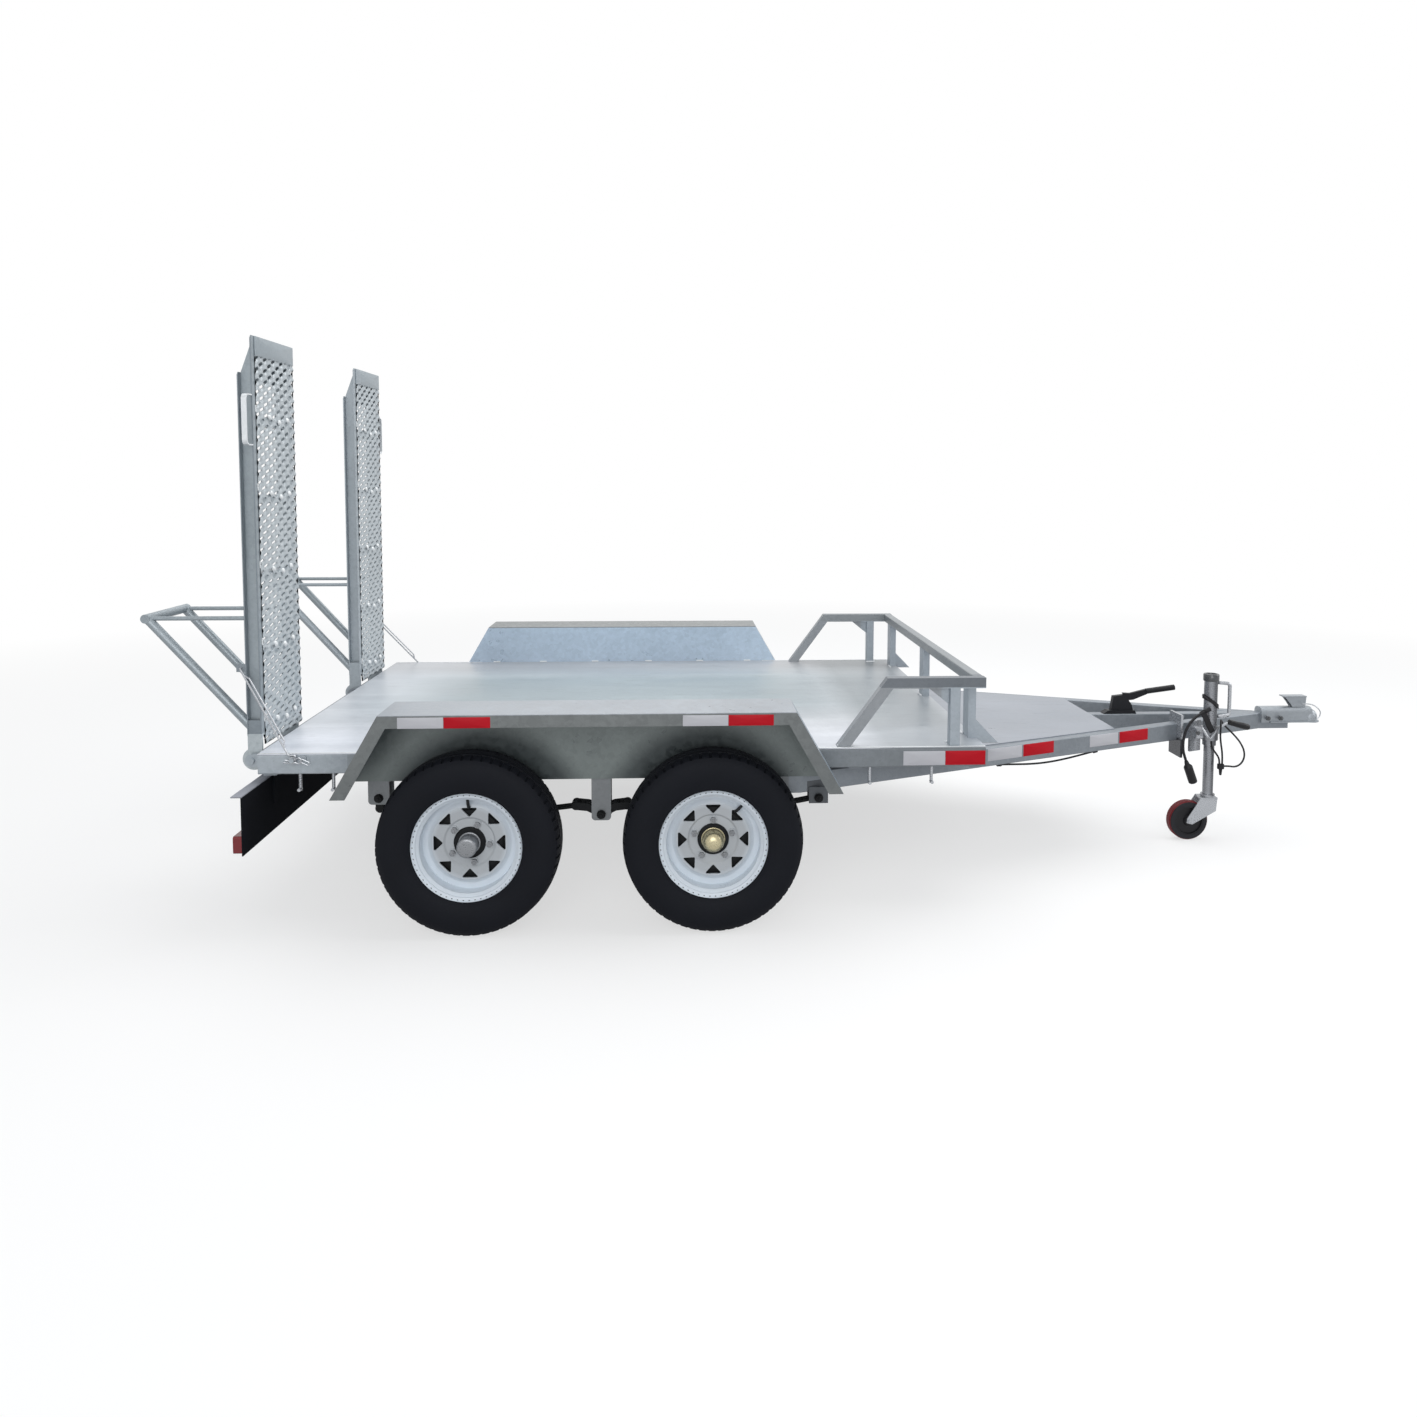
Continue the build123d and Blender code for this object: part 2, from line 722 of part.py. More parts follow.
# ---- wheels ----

def tyre(x, side):
    half = tyre_width / 2
    tread = tyre_diameter / 2
    bead = rim_flange_diameter / 2
    seat = rim_seat_diameter / 2
    rim_half = rim_width / 2
    profile = [(seat, -rim_half + 8), (seat + 2, -rim_half), (bead, -rim_half - 4), (bead + 30, -half + 3),
               (bead + 62, -half), (tread - 32, -half + 3), (tread - 10, -half + 16), (tread, -half + 36),
               (tread, half - 36), (tread - 10, half - 16), (tread - 32, half - 3), (bead + 62, half),
               (bead + 30, half - 3), (bead, rim_half + 4), (seat + 2, rim_half), (seat, rim_half - 8)]
    return Pos(0, side * wheel_y, 0) * turned(profile, x, wheel_centre_height)


def rim(x, side):
    """Barrel, flanges and a dished disc with windows. Its outside faces -Y on the right side."""
    rim_half = rim_width / 2
    seat = rim_seat_diameter / 2
    lip = rim_flange_diameter / 2
    barrel = [(seat - 9, -rim_half + 12), (lip - 5, -rim_half - 4), (lip - 2, -rim_half - 8),
              (lip, -rim_half - 4), (seat + 2, -rim_half), (seat, -rim_half + 8), (seat, rim_half - 8),
              (seat + 2, rim_half), (lip, rim_half + 4), (lip - 2, rim_half + 8), (lip - 5, rim_half + 4),
              (seat - 9, rim_half - 12)]
    face = -rim_disc_out
    back = face + rim_disc_plate
    disc = [(rim_centre_hole, face), (rim_window_foot - 7, face), (rim_window_foot, face - 5),
            (rim_window_top + 6, face - 7), (seat - 30, face + 2), (seat - 6, face + 4),
            (seat - 6, back + 4), (seat - 32, back + 2), (rim_window_top + 4, back - 7),
            (rim_window_foot + 2, back - 5), (rim_window_foot - 5, back), (rim_centre_hole, back)]
    wheel = turned(barrel, 0, 0) + turned(disc, 0, 0)
    window = make_face(Polyline([(0, rim_window_foot), (rim_window_width / 2, rim_window_top),
                                 (-rim_window_width / 2, rim_window_top)], close=True))
    window = fillet(window.vertices(), rim_window_corner)
    cut = Pos(0, face, 0) * extrude(Plane.XZ * window, 3 * rim_disc_plate, both=True)
    for number in range(rim_window_count):
        wheel -= Rot(0, 360 / rim_window_count * number, 0) * cut
    if side > 0:
        wheel = mirror(wheel, about=Plane.XZ)
    return Pos(x, side * wheel_y, wheel_centre_height) * wheel


def hub_cap_profile(domed):
    """The cap's outside, from its tip on the axis to its foot: a dome, or a plain cup."""
    tip = -rim_disc_out - hub_cap_out
    foot = -rim_disc_out - 8
    if domed:
        return [(0, tip + 10), (20, tip + 13), (33, tip + 22), (hub_cap_radius + 5, tip + 36),
                (hub_cap_radius + 5, foot)]
    return [(0, tip), (hub_cap_radius - 4, tip), (hub_cap_radius, tip + 4), (hub_cap_radius, foot)]


def hub(x, side):
    """The hub through the rim's disc and the brake drum behind it, bored for the spindle."""
    disc_back = -rim_disc_out + rim_disc_plate
    drum_end = disc_back + drum_depth
    bore = spindle_radius + pin_clearance
    boss = rim_centre_hole - loose_clearance
    profile = hub_cap_profile(domed=x > 0)
    profile += [(boss - 6, -rim_disc_out - 8), (boss, -rim_disc_out - 4), (boss, disc_back),
                (drum_radius, disc_back), (drum_radius, drum_end), (drum_radius - 8, drum_end),
                (drum_radius - 8, disc_back + 10), (50, disc_back + 10), (44, drum_end - 2), (bore, drum_end - 2),
                (bore, spindle_end_in), (0, spindle_end_in)]
    piece = turned(profile, 0, 0)
    if side > 0:
        piece = mirror(piece, about=Plane.XZ)
    return Pos(x, side * wheel_y, wheel_centre_height) * piece


def axle(x):
    """The axle beam with its two spindles and brake backing plates."""
    half = axle_beam / 2
    z = wheel_centre_height
    plate_face = wheel_y + rim_disc_out - rim_disc_plate - drum_depth - 3
    beam = rounded_block(x - half, x + half, -plate_face + 26, plate_face - 26, z - half, z + half, Axis.Y)
    spindle_end = wheel_y - spindle_end_in - 2
    spindle = lateral_rod(x, z, -spindle_end, spindle_end, spindle_radius)
    backing = lateral_rod(x, z, -plate_face, -plate_face + 5, drum_radius - 4)
    collar = lateral_rod(x, z, -plate_face + 5, -plate_face + 27, 34)
    return beam + spindle + backing + to_left(backing) + collar + to_left(collar)


# ---- springs and hangers ----

def arc_through(points):
    """Centre and radius of the circle through three (x, z) points."""
    (x1, z1), (x2, z2), (x3, z3) = points
    twice_area = 2 * (x1 * (z2 - z3) + x2 * (z3 - z1) + x3 * (z1 - z2))
    square_1 = x1 ** 2 + z1 ** 2
    square_2 = x2 ** 2 + z2 ** 2
    square_3 = x3 ** 2 + z3 ** 2
    cx = (square_1 * (z2 - z3) + square_2 * (z3 - z1) + square_3 * (z1 - z2)) / twice_area
    cz = (square_1 * (x3 - x2) + square_2 * (x1 - x3) + square_3 * (x2 - x1)) / twice_area
    return cx, cz, hypot(x1 - cx, z1 - cz)


def leaf_spring(axle_x, rear_eye, front_eye):
    """A pack of leaves on the axle, the top leaf with an eye at each end."""
    beam_top = wheel_centre_height + axle_beam / 2
    seat = (axle_x, beam_top + leaf_count * leaf_thickness)
    cx, cz, radius = arc_through([rear_eye, seat, front_eye])
    y_low = -spring_y - spring_width / 2
    y_high = -spring_y + spring_width / 2
    eyes = (rear_eye, front_eye)
    pack = block(axle_x - 35, axle_x + 35, y_low, y_high, beam_top, seat[1])
    for number in range(leaf_count):
        inner = radius + number * leaf_thickness
        ring = lateral_rod(cx, cz, y_low, y_high, inner + leaf_thickness) - lateral_rod(cx, cz, y_low, y_high, inner)
        reach = 1 - 0.24 * number
        low = axle_x + (rear_eye[0] - axle_x) * reach
        high = axle_x + (front_eye[0] - axle_x) * reach
        pack += ring & block(low, high, y_low - 1, y_high + 1, wheel_centre_height, rail_bottom_above(axle_x))
    for x, z in eyes:
        pack += lateral_rod(x, z, y_low, y_high, spring_eye_radius)
    for x, z in eyes:
        pack -= lateral_rod(x, z, y_low - 1, y_high + 1, hanger_pin_radius + loose_clearance)
    return pack - block(axle_x - 300, axle_x + 300, y_low - 1, y_high + 1, beam_top - axle_beam, beam_top)


def rail_bottom_above(axle_x):
    """The underside of whatever rail is over an axle's spring."""
    return drawbar_bottom if axle_x > 0 else frame_bottom


def spring_places():
    """The eye points (x, z) of the front and the rear spring."""
    front = ((hanger_shift + rocker_reach, spring_inner_eye_height), (hanger_shift + hanger_spacing, front_pin_height))
    rear = ((hanger_shift - hanger_spacing, spring_inner_eye_height),
            (hanger_shift - rocker_reach, spring_inner_eye_height))
    return front, rear


def leaf_springs():
    front, rear = spring_places()
    front_spring = leaf_spring(front_axle_x, front[0], front[1])
    rear_spring = leaf_spring(-front_axle_x, rear[0], rear[1])
    return Compound(children=[front_spring, rear_spring, to_left(front_spring), to_left(rear_spring)])


def spring_hanger(x, pin_height, half_length, drop, cheek_gap):
    """Two cheeks under the side rail with a pin across them."""
    cheek_out = cheek_gap + hanger_cheek
    bottom = pin_height - drop
    hanger = rounded_block(x - half_length, x + half_length, -spring_y - cheek_out, -spring_y + cheek_out,
                           bottom, frame_bottom + hanger_corner, Axis.Y, hanger_corner)
    hanger -= block(x - half_length - 1, x + half_length + 1, -spring_y - cheek_out - 1, -spring_y + cheek_out + 1,
                    frame_bottom, frame_bottom + hanger_corner + 1)
    hanger -= block(x - half_length - 1, x + half_length + 1, -spring_y - cheek_gap, -spring_y + cheek_gap,
                    bottom - 1, frame_bottom - 8)
    hanger -= block(x - half_length - 1, x + half_length + 1, -rail_inner - weld_gap, 0, drawbar_top - 1,
                    frame_bottom + 1)
    return hanger + lateral_rod(x, pin_height, -spring_y - cheek_out - 4, -spring_y + cheek_out + 4,
                                hanger_pin_radius)


def front_spring_hanger():
    """The front hanger's cheeks, welded to the drawbar rail where it runs over the spring."""
    x = hanger_shift + hanger_spacing
    cheek_gap = spring_width / 2 + side_clearance
    cheek_out = cheek_gap + hanger_cheek
    bottom = front_pin_height - 22
    hanger = block(x - 36, x + 36, -spring_y - cheek_out, -spring_y + cheek_out, bottom, drawbar_bottom + 19)
    hanger -= block(x - 37, x + 37, -spring_y - cheek_gap, -spring_y + cheek_gap, bottom - 1, drawbar_bottom + 20)
    hanger -= block(x - 37, x + 37, -spring_y, 0, drawbar_bottom, drawbar_bottom + 20)
    hanger += lateral_rod(x, front_pin_height, -spring_y - cheek_out - 4, -spring_y + cheek_out + 4,
                          hanger_pin_radius)
    return hanger - right_drawbar_rail()


def spring_hangers():
    close_gap = spring_width / 2 + side_clearance
    shackle_gap = close_gap + shackle_plate + side_clearance
    middle = spring_hanger(hanger_shift, rocker_pin_height, 36, 24, close_gap)
    rear = spring_hanger(hanger_shift - hanger_spacing, rear_pin_height, 38, 24, shackle_gap)
    pieces = [front_spring_hanger(), middle, rear]
    return Compound(children=pieces + [to_left(piece) for piece in pieces])


def link_plate(ends, y_low, y_high, radius):
    """A flat link with a round end at each point."""
    (x1, z1), (x2, z2) = ends
    turn = atan2(z2 - z1, x2 - x1)
    dx = -radius * sin(turn)
    dz = radius * cos(turn)
    web = side_plate([(x1 + dx, z1 + dz), (x1 - dx, z1 - dz), (x2 - dx, z2 - dz), (x2 + dx, z2 + dz)],
                     y_low, y_high)
    return web + lateral_rod(x1, z1, y_low, y_high, radius) + lateral_rod(x2, z2, y_low, y_high, radius)


def paired_links(ends, radius):
    """Two shackle plates, one each side of the spring."""
    near = spring_width / 2 + side_clearance
    plates = [link_plate(ends, -spring_y - near - shackle_plate, -spring_y - near, radius),
              link_plate(ends, -spring_y + near, -spring_y + near + shackle_plate, radius)]
    return plates[0] + plates[1]


def shackle_pin(place, radius):
    """A pin through both shackle plates."""
    out = spring_width / 2 + side_clearance + shackle_plate
    return lateral_rod(place[0], place[1], -spring_y - out, -spring_y + out, radius)


def rocker():
    """The rocker beam between the two springs, with a pair of links to each spring's eye."""
    front, rear = spring_places()
    pivot = (hanger_shift, rocker_pin_height)
    half = spring_width / 2 - 4
    tip_height = spring_inner_eye_height - 5
    beam = lateral_rod(pivot[0], pivot[1], -spring_y - half, -spring_y + half, 24)
    for eye, inward in ((front[0], -1), (rear[1], 1)):
        tip = (eye[0] + inward * rocker_link, tip_height)
        beam += link_plate((pivot, tip), -spring_y - half, -spring_y + half, 17)
        beam += paired_links((tip, eye), 14) + shackle_pin(tip, 10) + shackle_pin(eye, hanger_pin_radius)
    return beam - lateral_rod(pivot[0], pivot[1], -spring_y - 60, -spring_y + 60, hanger_pin_radius + loose_clearance)


def rear_shackle():
    """The pair of links that hangs the rear spring's tail from its hanger."""
    eye = spring_places()[1][0]
    hang = (eye[0], rear_pin_height)
    links = paired_links((hang, eye), 14) + shackle_pin(eye, hanger_pin_radius)
    return links - lateral_rod(hang[0], hang[1], -spring_y - 60, -spring_y + 60, hanger_pin_radius + loose_clearance)


def rockers_and_shackles():
    pieces = [rocker(), rear_shackle()]
    return Compound(children=pieces + [to_left(piece) for piece in pieces])


# ---- rear light board ----

def light_board():
    x = light_board_x
    width = light_board_half_width
    board = block(x - light_board_sheet, x, -width, width, light_board_bottom, light_board_top)
    board += block(x - light_board_flange, x, -width, width, light_board_top - light_board_sheet, light_board_top)
    strap = block(x, x + 8, -rail_inner + 60, -rail_inner + 100, light_board_top - 110, drawbar_top)
    board += strap + to_left(strap)
    return board


def tail_lamps():
    depth, width, height = tail_lamp_size
    back = light_board_x - light_board_sheet
    lamp = block(back - depth, back, -light_board_half_width, -light_board_half_width + width,
                 light_board_bottom + 8, light_board_bottom + 8 + height)
    lamp = fillet(lamp.edges().filter_by(Axis.X), 8)
    return both_sides(lamp)


# ---- loading ramps ----

def ramp_channel(y_web, y_open):
    """A side channel, open away from the ramp's middle, with its tip cut to a slope."""
    y_low = min(y_web, y_open)
    y_high = max(y_web, y_open)
    front = ramp_front - ramp_tread
    bar = side_plate([(front, ramp_foot), (front, ramp_tip), (ramp_back, ramp_tip - ramp_tip_slope),
                      (ramp_back, ramp_foot)], y_low, y_high)
    inward = 1 if y_web > y_open else -1
    groove_web = y_web - inward * ramp_channel_wall
    groove = block(ramp_back + ramp_channel_wall, front - ramp_channel_wall,
                   min(groove_web, y_open - inward), max(groove_web, y_open - inward), ramp_foot - 1, ramp_tip + 1)
    return bar - groove


def ramp_frame():
    """Two side channels, the rungs and the sloping end between them, and a lug at each foot."""
    outer_web = -ramp_outer_edge + ramp_channel_flange
    inner_edge = -ramp_inner_edge - ramp_tread_overhang
    inner_web = inner_edge - ramp_channel_flange
    front = ramp_front - ramp_tread
    frame = ramp_channel(outer_web, -ramp_outer_edge) + ramp_channel(inner_web, inner_edge)
    for number in range(ramp_rung_count):
        z = ramp_foot + number * ramp_rung_spacing
        frame += block(ramp_back + ramp_rung_inset, front, outer_web, inner_web, z, z + ramp_rung_height)
    slope_wall = ramp_channel_wall * hypot(1, ramp_tip_slope / (front - ramp_back))
    frame += side_plate([(front, ramp_tip), (ramp_back, ramp_tip - ramp_tip_slope),
                         (ramp_back, ramp_tip - ramp_tip_slope - slope_wall), (front, ramp_tip - slope_wall)],
                        outer_web, inner_web)
    for low in ramp_lug_edges():
        high = low + hinge_lug_plate
        frame += lateral_rod(hinge_x, hinge_z, low, high, hinge_lug_radius)
        frame += block(ramp_back, front, low, high, hinge_z, ramp_foot + hinge_lug_lap)
    bore = hinge_shaft_radius + loose_clearance
    return frame - lateral_rod(hinge_x, hinge_z, -ramp_outer_edge, -ramp_inner_edge, bore)


def ramp_tread_plate():
    """The face that wheels run on, set in from the outer edge and standing past the inner channel."""
    return block(ramp_front - ramp_tread, ramp_front, -ramp_outer_edge + ramp_tread_inset, -ramp_inner_edge,
                 hinge_z + ramp_tread_foot_lift, ramp_tip)


def ramp_handle(frame_edge):
    """A strap handle beside the ramp, with its ends lapped behind the outer channel's front flange."""
    out = -ramp_outer_edge - ramp_handle_out
    lap = -frame_edge + ramp_handle_lap
    x_high = ramp_front - ramp_tread
    x_low = x_high - ramp_handle_width
    handle = rounded_block(x_low, x_high, out, lap + 30, ramp_handle_bottom, ramp_handle_top, Axis.X, 22)
    handle -= rounded_block(x_low - 1, x_high + 1, out + ramp_handle_strap, lap + 40,
                            ramp_handle_bottom + ramp_handle_strap, ramp_handle_top - ramp_handle_strap, Axis.X, 17)
    handle -= block(x_low - 1, x_high + 1, lap, lap + 40, ramp_handle_bottom - 1, ramp_handle_top + 1)
    return handle - block(x_high - ramp_channel_wall, x_high + 1, -frame_edge, lap + 1,
                          ramp_handle_bottom - 1, ramp_handle_top + 1)


def ramp_legs():
    """The prop under the ramp: a cross tube on two braces and two sloping legs."""
    middle = -(ramp_inner_edge + ramp_outer_edge) / 2
    apex_x = hinge_x - ramp_leg_back
    apex_z = hinge_z + ramp_leg_up
    face = ramp_back + ramp_rung_inset
    foot = ramp_foot + ramp_leg_foot_lift
    beyond = 1 + ramp_leg_radius / (face - apex_x)
    legs = lateral_rod(apex_x, apex_z, middle - ramp_leg_half_width, middle + ramp_leg_half_width, ramp_leg_radius)
    for y in (middle - ramp_leg_half_width + ramp_leg_radius, middle + ramp_leg_half_width - ramp_leg_radius):
        legs += rod((apex_x, y, apex_z), (apex_x + (face - apex_x) * beyond, y, apex_z + (foot - apex_z) * beyond),
                    ramp_leg_radius)
        legs += rod((apex_x, y, apex_z), (ramp_back, y, apex_z), ramp_brace_radius)
    ramp_side = block(face, face + 200, -ramp_outer_edge - 1, 0, 0, ramp_tip)
    inner_channel = block(ramp_back, face + 1, -ramp_inner_edge - ramp_tread_overhang - ramp_channel_flange, 0,
                          0, ramp_tip)
    return legs - ramp_side - inner_channel


# ---- ramp stays ----

def stay_lug(frame_edge):
    """The ear on the ramp's back flange, with the hole that the stay's bent end goes through."""
    eye_x, eye_z = stay_eye
    y_high = -frame_edge + 10
    ear = block(ramp_back - stay_lug_depth, ramp_back, y_high - gusset_plate, y_high, eye_z - 15, eye_z + 15)
    return ear - lateral_rod(eye_x, eye_z, y_high - gusset_plate - 1, y_high + 1, stay_radius + loose_clearance)


def ramp_stay(frame_edge):
    """A rod from the ramp's ear to the side rail's pin, doubled along its middle, with an open hook below."""
    eye_x, eye_z = stay_eye
    pin_x, pin_z = stay_pin
    reach = stay_pin_radius + stay_clearance + stay_radius
    outside = -deck_half_width - stay_plane_out
    top = Vector(eye_x, -frame_edge - stay_radius - 6, eye_z)
    shoulder = Vector(pin_x - reach - 6, outside, pin_z + reach + 7)
    path = FilletPolyline((eye_x, -frame_edge + 24, eye_z), top, shoulder,
                          (pin_x + reach, outside, pin_z + reach + 6), (pin_x + reach, outside, pin_z - reach),
                          radius=7)
    profile = Plane(origin=path @ 0, z_dir=path % 0) * Circle(stay_radius)
    stay = sweep(profile, path=path)
    run = shoulder - top
    aside = Vector(-run.Z, 0, run.X).normalized() * (2 * stay_radius + 2 * stay_strand_radius)
    strand = FilletPolyline(top + run * 0.08, top + run * 0.14 + aside, top + run * 0.86 + aside, top + run * 0.92,
                            radius=12)
    strand_profile = Plane(origin=strand @ 0, z_dir=strand % 0) * Circle(stay_strand_radius)
    return stay + sweep(strand_profile, path=strand)


def stay_pins():
    """A small plate on each side rail with the pin that a stay hooks over."""
    x, z = stay_pin
    face = -deck_half_width
    pin = block(x - 22, x + 44, face - 4, face, z - 16, z + 14)
    pin += lateral_rod(x, z, face - stay_pin_length, face, stay_pin_radius)
    pin += lateral_rod(x, z, face - stay_pin_length, face - stay_pin_length + 4, stay_pin_radius + 3)
    return both_sides(pin)


# ---- leads at the drawbar ----

def arc_radii(points):
    """The largest arc that each corner's two runs allow."""
    radii = []
    for before, corner, after in zip(points, points[1:], points[2:]):
        arrive = corner - before
        leave = after - corner
        half_turn = radians(arrive.get_angle(leave)) / 2
        radii.append(0.45 * min(arrive.length, leave.length) / tan(half_turn))
    return radii


def lead_tube(name, route, diameter):
    """A tube along a route of straight runs joined by arcs."""
    points = [Vector(*point) for point in route]
    radii = arc_radii(points)
    path = FilletPolyline(*points, radius=radii)
    profile = Plane(origin=path @ 0, z_dir=path % 0) * Circle(diameter / 2)
    tube = sweep(profile, path=path)
    expected = profile.area * path.length
    print(f"{name}: {path.length:.1f} mm long, smallest radius {min(radii):.1f}, volume ratio {tube.volume / expected:.4f}")
    print("   radii", [round(radius, 1) for radius in radii])
    return tube


def rail_cable_points():
    """The wiring's route, under the middle of the right drawbar rail."""
    return [(x, -drawbar_outer_y(x) + drawbar_band_width() / 2, drawbar_bottom - sag) for x, sag in rail_cable_sag]


def rail_clip(end, beyond):
    """A block under the drawbar rail that takes one end of the wiring."""
    direction = (end - beyond).normalized()
    clip = rod(tuple(end), tuple(end + direction * 18), rail_cable_diameter)
    return clip - right_drawbar_rail()


def cable_clips():
    """The tie round the jockey tube, the lead's clip beside it, and the two clips of the wiring."""
    tie_low = jockey_tube_top - 142
    tilt = 36
    band = on_jockey_tube(tie_low - 60, tie_low + 130, jockey_outer_radius + 6)
    band -= on_jockey_tube(tie_low - 61, tie_low + 131, jockey_outer_radius)
    band &= Pos(jockey_x, -jockey_out, tie_low + 35) * Rot(0, tilt, 0) * Box(200, 200, 12)
    start = Vector(*lead_route[0])
    direction = (start - Vector(*lead_route[1])).normalized()
    clip = rod(tuple(start), tuple(start + direction * 24), lead_diameter / 2 + 3)
    clip -= on_jockey_tube(jockey_tube_bottom, jockey_tube_top, jockey_outer_radius)
    wiring = [Vector(*point) for point in rail_cable_points()]
    return Compound(children=[band, clip, rail_clip(wiring[0], wiring[1]), rail_clip(wiring[-1], wiring[-2])])


def lead_plug():
    """The plug on the lead's end, in line with its last run."""
    end = Vector(*lead_route[-1])
    direction = (end - Vector(*lead_route[-2])).normalized()
    neck = lead_diameter / 2 + 2
    outline = [(0, 0), (neck, 0), (neck + 3, 16), (plug_radius - 3, 22), (plug_radius, 28),
               (plug_radius, plug_length - 4), (plug_radius - 3, plug_length), (0, plug_length)]
    face = make_face(Polyline([Vector(radius, 0, along) for radius, along in outline], close=True))
    return Plane(origin=end, z_dir=direction) * revolve(face, Axis.Z)


def breakaway_ferrule():
    """The crimp that the breakaway cable's loop and line run into."""
    y = breakaway_loop_route[0][1]
    shoulder = ferrule_bottom + 28
    left = breakaway_line_route[-1][0] - 7
    right = breakaway_loop_route[-1][0]
    top = block(left, right, y - 8, y + 8, shoulder, ferrule_top)
    top = fillet(top.edges().filter_by(Axis.Z), 3)
    centre = (left + right) / 2
    tail = loft([Plane.XY.offset(ferrule_bottom) * Pos(centre, y) * Circle(5),
                 Plane.XY.offset(shoulder) * Pos(centre, y) * Circle(8)])
    return top + tail


# ---- writing the pieces ----

def write(name, shape):
    export_step(Pos(x_shift, 0, 0) * shape, f"parts/{name}.step")


def main():
    os.makedirs("parts", exist_ok=True)
    pieces = {
        "deck_plate": deck_plate_piece(),
        "front_deck_plates": front_deck_plates(),
        "side_rails": both_sides(side_rail()),
        "cross_members": cross_members(),
        "ramp_hinges": ramp_hinges(),
        "tie_hooks": tie_hooks(),
        "mudguards": both_sides(right_mudguard()),
        "headboard_top_rail": headboard_top_rail(),
        "headboard_sides": both_sides(headboard_side()),
        "headboard_posts": headboard_posts(),
        "drawbar_rails": both_sides(right_drawbar_rail()),
        "centre_rail": centre_rail(),
        "coupling_body": coupling_body(),
        "coupling_lever": coupling_lever(),
        "handbrake_base": handbrake_base(),
        "handbrake_lever": handbrake_lever(),
        "jockey_brackets": jockey_brackets(),
        "jockey_outer_tube": jockey_outer_tube(),
        "jockey_clamp": jockey_clamp(),
        "jockey_crank": jockey_crank(),
        "jockey_leg": jockey_leg(),
        "jockey_fork": jockey_fork(),
        "jockey_tyre": jockey_tyre(),
        "jockey_hub": jockey_hub(),
        "axles": Compound(children=[axle(front_axle_x), axle(-front_axle_x)]),
        "leaf_springs": leaf_springs(),
        "spring_hangers": spring_hangers(),
        "rockers_and_shackles": rockers_and_shackles(),
        "light_board": light_board(),
        "tail_lamps": tail_lamps(),
        "stay_pins": stay_pins(),
        "rail_cable": lead_tube("rail cable", rail_cable_points(), rail_cable_diameter),
        "cable_clips": cable_clips(),
        "lead": lead_tube("lead", lead_route, lead_diameter),
        "lead_plug": lead_plug(),
        "breakaway_line": lead_tube("breakaway line", breakaway_line_route, breakaway_diameter),
        "breakaway_loop": lead_tube("breakaway loop", breakaway_loop_route, breakaway_diameter),
        "breakaway_ferrule": breakaway_ferrule(),
    }
    for end, x in (("front", front_axle_x), ("rear", -front_axle_x)):
        for side_name, side in (("right", -1), ("left", 1)):
            pieces[f"{end}_{side_name}_tyre"] = tyre(x, side)
            pieces[f"{end}_{side_name}_rim"] = rim(x, side)
            pieces[f"{end}_{side_name}_hub"] = hub(x, side)
    frame = ramp_frame()
    pieces["right_ramp_frame"] = frame + stay_lug(ramp_outer_edge)
    pieces["left_ramp_frame"] = Pos(0, ramp_spread, 0) * frame + to_left(stay_lug(ramp_frame_edge))
    pieces["right_ramp_tread"] = ramp_tread_plate()
    pieces["left_ramp_tread"] = Pos(0, ramp_spread, 0) * ramp_tread_plate()
    pieces["right_ramp_legs"] = ramp_legs()
    pieces["left_ramp_legs"] = Pos(0, ramp_spread, 0) * ramp_legs()
    pieces["right_ramp_handle"] = ramp_handle(ramp_outer_edge)
    pieces["left_ramp_handle"] = to_left(ramp_handle(ramp_frame_edge))
    pieces["right_ramp_stay"] = ramp_stay(ramp_outer_edge)
    pieces["left_ramp_stay"] = to_left(ramp_stay(ramp_frame_edge))
    for name, shape in pieces.items():
        write(name, shape)
    print(f"{len(pieces)} pieces, X shift {x_shift:.1f} mm")


main()
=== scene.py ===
"""Looks of the equipment trailer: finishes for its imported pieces, and the pieces that only show."""
import json
import math

import bmesh
import bpy
import numpy as np
from mathutils import Matrix, Vector


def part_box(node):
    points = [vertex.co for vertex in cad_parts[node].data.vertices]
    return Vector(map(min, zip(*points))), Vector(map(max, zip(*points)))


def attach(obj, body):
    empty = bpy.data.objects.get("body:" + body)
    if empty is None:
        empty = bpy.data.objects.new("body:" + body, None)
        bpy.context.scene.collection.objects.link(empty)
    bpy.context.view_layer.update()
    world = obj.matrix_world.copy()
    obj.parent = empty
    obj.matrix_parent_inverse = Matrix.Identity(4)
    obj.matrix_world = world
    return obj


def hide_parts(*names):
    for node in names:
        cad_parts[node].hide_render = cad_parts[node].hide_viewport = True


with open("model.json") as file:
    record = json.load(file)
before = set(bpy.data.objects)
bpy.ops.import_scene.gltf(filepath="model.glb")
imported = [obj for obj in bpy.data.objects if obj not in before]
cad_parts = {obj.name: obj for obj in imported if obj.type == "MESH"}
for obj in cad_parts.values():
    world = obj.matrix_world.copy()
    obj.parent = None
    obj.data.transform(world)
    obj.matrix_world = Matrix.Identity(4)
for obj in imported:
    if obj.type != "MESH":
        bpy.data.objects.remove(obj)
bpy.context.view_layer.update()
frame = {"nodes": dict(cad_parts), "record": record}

nodes = frame["nodes"]


def centre_of(node):
    """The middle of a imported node's box."""
    low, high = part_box(node)
    return (np.array(low) + np.array(high)) / 2


WHEEL_MIDDLE = (centre_of("front_right_tyre")[0] + centre_of("rear_right_tyre")[0]) / 2


def ahead(x):
    """A place x metres ahead of the middle between the axles, as an X of the frame."""
    return x + WHEEL_MIDDLE


AXLE_X, WHEEL_Z = 0.434, 0.325
# How far out from the trailer's middle plane the outer face of a rim's disc begins.
WHEEL_FACE = abs(centre_of("front_right_tyre")[1]) + 0.0035


# ---- camera ----

